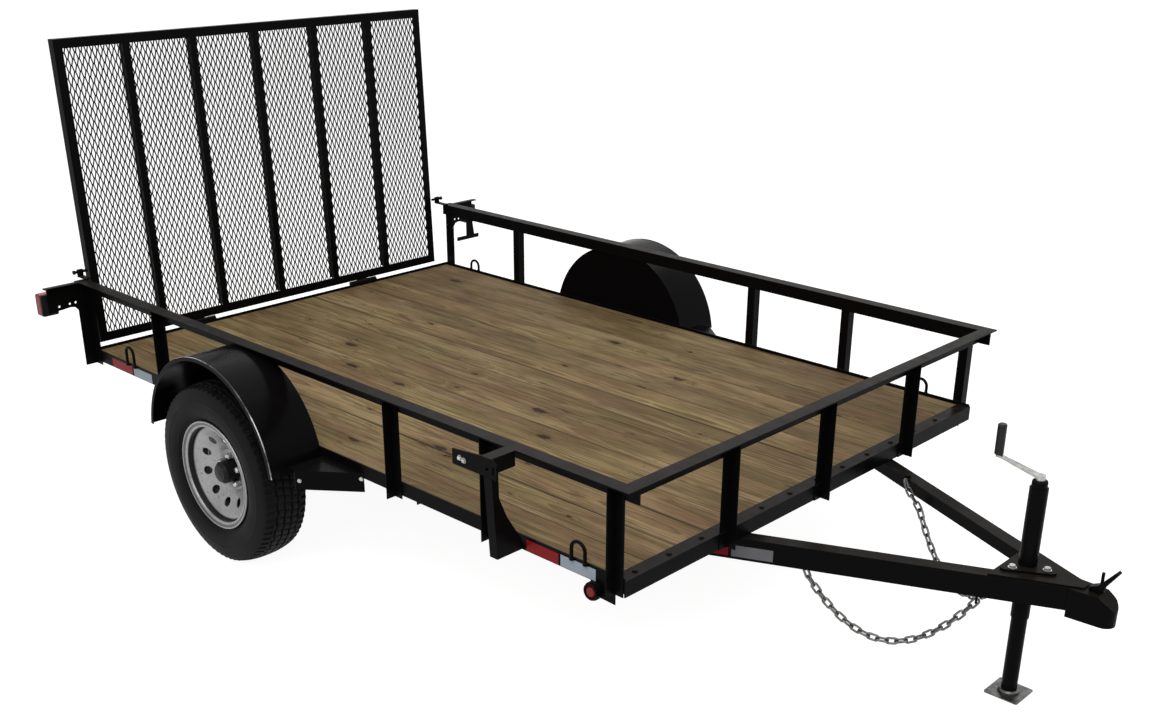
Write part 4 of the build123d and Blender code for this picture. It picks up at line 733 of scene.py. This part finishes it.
def pressed_disc(shape, centre, outward):
    """The wheel's disc: rings of plain sheet round a belt with the hand holes cut in it."""

    def pair(turn, radius):
        flat = centre + Vector((cos(turn), 0, sin(turn))) * radius
        level = disc_level(radius)
        return [shape.verts.new(flat + outward * (level - behind)) for behind in (0, DISC_SKIN)]

    def patch(first, second, third, fourth):
        """Front and back faces between four (turn, radius) places."""
        corners = [pair(*place) for place in (first, second, third, fourth)]
        for layer in (0, 1):
            shape.faces.new([corner[layer] for corner in corners])

    def wall(first, second):
        (front_a, back_a), (front_b, back_b) = pair(*first), pair(*second)
        shape.faces.new((front_a, front_b, back_b, back_a))

    along = 16                  # steps round one hole's part of the disc
    part = 2 * pi / HAND_HOLES
    low, high = HOLE_ZONE
    inner = [radius for radius, _ in DISC_FACE if radius < low] + [0.098, low]
    outer = [high, 0.153] + [radius for radius, _ in DISC_FACE if radius > 0.153]
    for hole in range(HAND_HOLES):
        middle = part * (hole + 0.5) + HOLE_TURN
        turns = [middle + part * (step / along - 0.5) for step in range(along + 1)]
        for here, there in zip(turns, turns[1:]):
            for radii in (inner, outer):
                for near, far in zip(radii, radii[1:]):
                    patch((here, near), (there, near), (there, far), (here, far))
            wall((here, inner[0]), (there, inner[0]))
            wall((here, outer[-1]), (there, outer[-1]))
        rise = [low + (high - low) * step / 6 for step in range(7)]
        frame_line = [(turn, high) for turn in turns]
        frame_line += [(turns[-1], radius) for radius in reversed(rise[1:-1])]
        frame_line += [(turn, low) for turn in reversed(turns)]
        frame_line += [(turns[0], radius) for radius in rise[1:-1]]
        rings = []
        for share in (0.0, 0.25, 0.5, 0.75, 1.0):
            ring = []
            for turn, radius in frame_line:
                across, up = (turn - middle) * HOLE_CIRCLE, radius - HOLE_CIRCLE
                reach = sqrt((across / HOLE_WIDE) ** 2 + (up / HOLE_TALL) ** 2)
                pull = 1 - share + share / reach
                ring.append((middle + across * pull / HOLE_CIRCLE, HOLE_CIRCLE + up * pull))
            rings.append(ring)
        for ring, following in zip(rings, rings[1:]):
            for point in range(len(ring)):
                beyond = (point + 1) % len(ring)
                patch(ring[point], ring[beyond], following[beyond], following[point])
        for point, place in enumerate(rings[-1]):
            wall(place, rings[-1][(point + 1) % len(rings[-1])])


for side, centre in wheel_centres.items():
    outward = Vector((0, 1 if side == "left" else -1, 0))
    rim = bmesh.new()
    skin(rim, [
        [
            centre + outward * out + Vector((cos(turn), 0, sin(turn))) * radius
            for out, radius in RIM_SECTION
        ]
        for turn in (2 * pi * step / RIM_STEPS for step in range(RIM_STEPS))
    ], closed=True)
    pressed_disc(rim, centre, outward)
    bmesh.ops.remove_doubles(rim, verts=rim.verts, dist=0.00002)
    pressed = add_piece(f"pressed_rim_{side}", rim, rim_silver, body=f"wheel_{side}", crease=38)
    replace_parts(pressed, f"rim_{side}")

STUD_CIRCLE = 0.05715
STUDS = 5
VALVE_CIRCLE = 0.158
for side, centre in wheel_centres.items():
    outward = Vector((0, 1 if side == "left" else -1, 0))
    nuts = bmesh.new()
    for stud in range(STUDS):
        turn = 2 * pi * stud / STUDS - pi / 2 * outward.y
        place = centre + Vector((cos(turn), 0, sin(turn))) * STUD_CIRCLE
        turned(nuts, place, outward, ((0.0155, 0.0035), (0.0155, 0.0055)), corners=20)
        turned(nuts, place, outward, (
            (0.0129, 0.005), (0.0129, 0.021), (0.0105, 0.026), (0.006, 0.0285),
        ), corners=6, spin=turn)
    add_piece(f"lug_nuts_{side}", nuts, zinc_plate, body=f"wheel_{side}", crease=35)


def moulded(name, colour, roughness, grain=700.0, depth=0.0002, **plain):
    """Moulded rubber or plastic: fine grain, slightly uneven sheen."""
    finish, tree, shader = new_finish(name, **plain)
    place = put(tree, "ShaderNodeTexCoord").outputs["Object"]
    pores = noise(tree, place, grain, 3.0)
    bloom = noise(tree, place, 14.0, 4.0)
    lighter = tuple(channel * 1.7 + 0.004 for channel in colour[:3]) + (1,)
    tree.links.new(
        blend_colour(tree, ramp(tree, bloom, 0.35, 0.75), colour, lighter), shader.inputs["Base Color"]
    )
    tree.links.new(
        ramp(tree, bloom, 0.3, 0.7, roughness - 0.06, roughness + 0.06), shader.inputs["Roughness"]
    )
    bump = put(tree, "ShaderNodeBump", {"Height": pores, "Strength": 0.3, "Distance": depth})
    tree.links.new(bump.outputs[0], shader.inputs["Normal"])
    return finish


cap_plastic = moulded("cap_plastic", (0.005, 0.005, 0.0056, 1), 0.38, specular_ior_level=0.14)
wear(cap_plastic, "hub_cap_left", "hub_cap_right", "tail_lamp_bases")
wear(moulded("grip_rubber", (0.007, 0.007, 0.007, 1), 0.5, specular_ior_level=0.25), "jack_grip")
for side, centre in wheel_centres.items():
    outward = Vector((0, 1 if side == "left" else -1, 0))
    valve = bmesh.new()
    place = centre + Vector((cos(0.94), 0, sin(0.94))) * VALVE_CIRCLE + outward * 0.020
    turned(valve, place, outward, (
        (0.008, -0.004), (0.0075, 0.002), (0.0042, 0.006), (0.0042, 0.032), (0.0048, 0.034), (0.0048, 0.042),
        (0.003, 0.0435),
    ), corners=14)
    add_piece(f"valve_{side}", valve, cap_plastic, body=f"wheel_{side}", crease=40)

# ---- Tyres -------------------------------------------------------------------------------
# Trailer tyres on 15 inch rims: ribbed tread with zigzag grooves, a comb of notches on
# each shoulder, and thin moulded rings on the sidewalls.
TYRE_RADIUS = 0.345
TYRE_STEPS = 432                # round the tyre
TREAD_PITCH = 72                # notches round each shoulder
TREAD_EDGE = 0.080              # half width of the tread
GROOVES = (-0.045, -0.015, 0.015, 0.045)
GROOVE_DEPTH = 0.007
TREAD_POINTS = 60
NOTCH_SHARE = 0.34              # of a tread pitch
# along the axle, radius: from the bead, up the sidewall, to the shoulder
SIDEWALL = (
    (0.0765, 0.205), (0.0785, 0.2115), (0.0835, 0.219), (0.087, 0.2245), (0.0885, 0.2252), (0.090, 0.2275),
    (0.0925, 0.236), (0.095, 0.2475), (0.0965, 0.259), (0.0968, 0.270), (0.0962, 0.281),
    (0.0966, 0.2835), (0.096, 0.286), (0.0945, 0.297), (0.092, 0.308), (0.089, 0.320), (0.086, 0.3285),
)


def tread_radius(across, turn):
    """Radius of the tread at a place across it; turn counts tread pitches."""
    crown = TYRE_RADIUS - 0.0105 * (abs(across) / TREAD_EDGE) ** 2.6
    zigzag = 0.003 * (abs((turn * 0.5) % 1.0 - 0.5) * 4 - 1)
    cut = any(abs(across - groove - zigzag) < 0.0032 for groove in GROOVES)
    notch = abs(across) > 0.056 and turn % 1.0 < NOTCH_SHARE
    sipe = abs(across) < 0.056 and (turn + across * 9.0) % 1.0 < 0.17
    return crown - (GROOVE_DEPTH if cut else 0.0055 if notch else 0.003 if sipe else 0.0)


def tyre_shape(centre):
    """A tyre as one closed skin, round the Y axis at centre."""
    shape = bmesh.new()
    rings = []
    for step in range(TYRE_STEPS):
        angle = 2 * pi * step / TYRE_STEPS
        turn = step * TREAD_PITCH / TYRE_STEPS
        notch = turn % 1.0 < NOTCH_SHARE
        profile = [(-across, radius) for across, radius in SIDEWALL]
        profile += [(-0.0835, 0.3335 - (0.004 if notch else 0))]
        for point in range(TREAD_POINTS + 1):
            across = TREAD_EDGE * (2 * point / TREAD_POINTS - 1)
            profile.append((across, tread_radius(across, turn)))
        profile += [(0.0835, 0.3335 - (0.004 if notch else 0))]
        profile += list(reversed(SIDEWALL))
        profile += [(0.062, 0.1955), (0.0, 0.1955), (-0.062, 0.1955)]
        rings.append([
            centre + Vector((radius * cos(angle), across, radius * sin(angle))) for across, radius in profile
        ])
    skin(shape, rings, closed=True)
    return shape


tyre_rubber = moulded("tyre_rubber", (0.0036, 0.0036, 0.0041, 1), 0.6, 500.0, 0.0003, specular_ior_level=0.08)
for side, centre in wheel_centres.items():
    tyre = add_piece(
        f"treaded_tyre_{side}", tyre_shape(centre), tyre_rubber, body=f"wheel_{side}", crease=32
    )
    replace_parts(tyre, f"tyre_{side}")

# ---- Gate bars and mesh ------------------------------------------------------------------
# Raised expanded steel, its diamonds standing on end, behind the gate's frame and bars:
# each panel is a row of zigzag strands that meet at the knuckles.
GATE_HINGE = Vector((RAIL_FRONT - 3.130, 0, 0.505))
GATE_LEAN = radians(2.3)
GATE_HALF = 0.956
GATE_BARS = 5
BAR_LEG, BAR_WALL, GATE_WALL, MESH_GAP = 0.0318, 0.0032, 0.004, 0.001
BAR_LOW, BAR_HIGH = 0.009 + 0.0381, 0.009 + 1.257 - 0.0381
BAR_FACE = -0.012
GATE_PITCH = 2 * GATE_HALF / (GATE_BARS + 1)
MESH_LOW, MESH_HIGH = 0.009 + GATE_WALL + MESH_GAP, 0.009 + 1.257 - GATE_WALL - MESH_GAP
MESH_FACE, MESH_BACK = -0.016, -0.0186       # from the hinge axis towards the bed
DIAMOND_WIDE, DIAMOND_HIGH = 0.0248, 0.0508
STRAND = 0.0050


def on_gate(across, up, out):
    """A point on the gate: across to the left, up the gate, out towards the bed."""
    lean = Vector((cos(GATE_LEAN), 0, sin(GATE_LEAN))) * out
    lean += Vector((-sin(GATE_LEAN), 0, cos(GATE_LEAN))) * up
    return GATE_HINGE + lean + Vector((0, across, 0))


# angle-iron bars: one leg lies flat towards the bed, the other runs back from its right-hand
# edge, and the mesh is cut round it
bars = bmesh.new()
for bar in range(1, GATE_BARS + 1):
    edge = -GATE_HALF + bar * GATE_PITCH - BAR_LEG / 2
    section = (
        (0, 0), (BAR_LEG, 0), (BAR_LEG, -BAR_WALL),
        (BAR_WALL, -BAR_WALL), (BAR_WALL, -BAR_LEG), (0, -BAR_LEG),
    )
    skin(bars, [
        [
            on_gate(edge + across, up, BAR_FACE + behind) for across, behind in section
        ] for up in (BAR_LOW, BAR_HIGH)
    ])
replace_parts(add_piece("angle_bars", bars, black_enamel, body="gate"), "gate_bars")

steps = round((MESH_HIGH - MESH_LOW) / (DIAMOND_HIGH / 2))
rise = (MESH_HIGH - MESH_LOW) / steps
strands = bmesh.new()
for panel in range(GATE_BARS + 1):
    left = -GATE_HALF + panel * GATE_PITCH
    start = left + (BAR_WALL - BAR_LEG / 2 if panel else GATE_WALL) + MESH_GAP
    stop = left + GATE_PITCH - (BAR_LEG / 2 if panel < GATE_BARS else GATE_WALL) - MESH_GAP
    columns = round(2 * (stop - start) / DIAMOND_WIDE)      # two zigzags to each diamond
    pitch = (stop - start) / columns
    for column in range(columns):
        middle = start + pitch * (column + 0.5)
        rings = []
        for step in range(steps + 1):
            swing = (pitch - STRAND) / 2 * (1 if (step + column) % 2 else -1)
            up = MESH_LOW + rise * step
            rings.append([
                on_gate(middle + swing + across, up, out)
                for across, out in (
                    (-STRAND / 2, MESH_BACK), (STRAND / 2, MESH_BACK),
                    (STRAND / 2, MESH_FACE), (-STRAND / 2, MESH_FACE),
                )
            ])
        skin(strands, rings)
expanded_mesh = add_piece("expanded_mesh", strands, black_enamel, body="gate")
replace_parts(expanded_mesh, "gate_mesh")

# ---- Lamps --------------------------------------------------------------------------------
# Red acrylic lenses, moulded with fine flutes, over reflectors in black housings.


def red_acrylic():
    """Red lens plastic with fine level flutes."""
    finish, tree, shader = new_finish("red_acrylic", roughness=0.12, specular_ior_level=0.16)
    place = put(tree, "ShaderNodeTexCoord").outputs["Object"]
    flutes = put(tree, "ShaderNodeTexWave", {"Vector": place, "Scale": 60.0}, bands_direction="Z")
    colour = blend_colour(tree, flutes.outputs["Fac"], (0.20, 0.003, 0.004, 1), (0.42, 0.010, 0.010, 1))
    tree.links.new(colour, shader.inputs["Base Color"])
    bump = put(tree, "ShaderNodeBump", {"Height": flutes.outputs["Fac"], "Strength": 0.4, "Distance": 0.0006})
    tree.links.new(bump.outputs[0], shader.inputs["Normal"])
    return finish


wear(red_acrylic(), "tail_lenses", "marker_lenses")

# a black bezel closes over each marker lens, and a tab beside it takes the lamp's earth screw
MARKER_LOW, MARKER_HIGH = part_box("marker_lenses")
marker_middle = (MARKER_LOW + MARKER_HIGH) / 2
BEZEL_IN, BEZEL_OUT = 0.0190, 0.0275
bezels = bmesh.new()
for side in (1, -1):
    front = side * MARKER_HIGH.y
    rings = []
    for step in range(40):
        turn = 2 * pi * step / 40
        spoke = Vector((cos(turn), 0, sin(turn)))
        rings.append([
            Vector((marker_middle.x, front + side * out, marker_middle.z)) + spoke * radius
            for radius, out in (
                (BEZEL_OUT, -0.008), (BEZEL_OUT, -0.001), (BEZEL_OUT - 0.002, 0.001),
                (BEZEL_IN + 0.001, 0.001), (BEZEL_IN, -0.001), (BEZEL_IN, -0.004),
            )
        ])
    skin(bezels, rings, closed=True)
    near, far = RAIL_FRONT - 0.160, RAIL_FRONT - 0.086
    skin(bezels, [
        [Vector((x, side * out, z)) for x, z in ((near, 0.412), (far, 0.409), (far, 0.466), (near, 0.466))]
        for out in (SIDE_FACE - 0.0030, SIDE_FACE + 0.0004)
    ])
add_piece("marker_bezels", bezels, black_enamel, crease=40)

# ---- Studio --------------------------------------------------------------------------------
# A pale floor that runs out to white, an even sky and two large soft lamps overhead.
floor_mesh = bpy.data.meshes.new("studio_floor")
reach = 60.0
floor_mesh.from_pydata(
    [(-reach, -reach, 0), (reach, -reach, 0), (reach, reach, 0), (-reach, reach, 0)], [], [(0, 1, 2, 3)]
)
studio_floor = bpy.data.objects.new("studio_floor", floor_mesh)
bpy.context.scene.collection.objects.link(studio_floor)
floor_finish, tree, shader = new_finish(
    "floor_paint", base_color=(0.35, 0.35, 0.35, 1), roughness=1.0, specular_ior_level=0.0,
    emission_color=(1, 1, 1, 1),
)
path = put(tree, "ShaderNodeLightPath")
seen = sum_up(tree, "MAXIMUM", path.outputs["Is Camera Ray"], path.outputs["Is Glossy Ray"])
seen = sum_up(tree, "MAXIMUM", seen, path.outputs["Is Transmission Ray"])
tree.links.new(sum_up(tree, "MULTIPLY", seen, 0.93), shader.inputs["Emission Strength"])
floor_mesh.materials.append(floor_finish)

world = bpy.data.worlds.new("studio_sky")
bpy.context.scene.world = world
world.use_nodes = True
sky = world.node_tree
sky.nodes.clear()
path = put(sky, "ShaderNodeLightPath")
seen = sum_up(sky, "MAXIMUM", path.outputs["Is Camera Ray"], path.outputs["Is Glossy Ray"])
seen = sum_up(sky, "MAXIMUM", seen, path.outputs["Is Transmission Ray"])
strength = ramp(sky, seen, 0.0, 1.0, 0.36, 1.0)
light = put(sky, "ShaderNodeBackground", {"Color": (1, 1, 1, 1), "Strength": strength})
put(sky, "ShaderNodeOutputWorld", {"Surface": light.outputs[0]})

# place, aimed at, size, watts
LAMPS = (
    ("key_lamp", (2.5, -4.0, 6.5), (-0.5, 0.0, 0.4), 8.0, 360.0),
    ("fill_lamp", (-3.0, 3.0, 6.0), (-0.5, 0.0, 0.4), 8.0, 160.0),
)
for name, place, target, size, watts in LAMPS:
    lamp = bpy.data.lights.new(name, "AREA")
    lamp.size = size
    lamp.energy = watts
    holder = bpy.data.objects.new(name, lamp)
    holder.location = place
    holder.rotation_euler = (Vector(target) - Vector(place)).to_track_quat("-Z", "Y").to_euler()
    bpy.context.scene.collection.objects.link(holder)

EYE = Vector((3.4166, -3.6912, 2.3976))
YAW, PITCH, ROLL = -0.756, 0.417, 0.0056
camera_data = bpy.data.cameras.new("camera")
camera_data.sensor_width = 36.0
camera_data.lens = 42.83
camera_data.shift_y = 0.1054
camera_data.clip_end = 200.0
camera = bpy.data.objects.new("camera", camera_data)
ahead = Vector((sin(YAW) * cos(PITCH), cos(YAW) * cos(PITCH), -sin(PITCH)))
aim = ahead.to_track_quat("-Z", "Y").to_matrix().to_4x4()
camera.matrix_world = Matrix.Translation(EYE) @ aim @ Matrix.Rotation(ROLL, 4, "Z")
bpy.context.scene.collection.objects.link(camera)
bpy.context.scene.camera = camera
bpy.context.scene.view_settings.view_transform = "Standard"
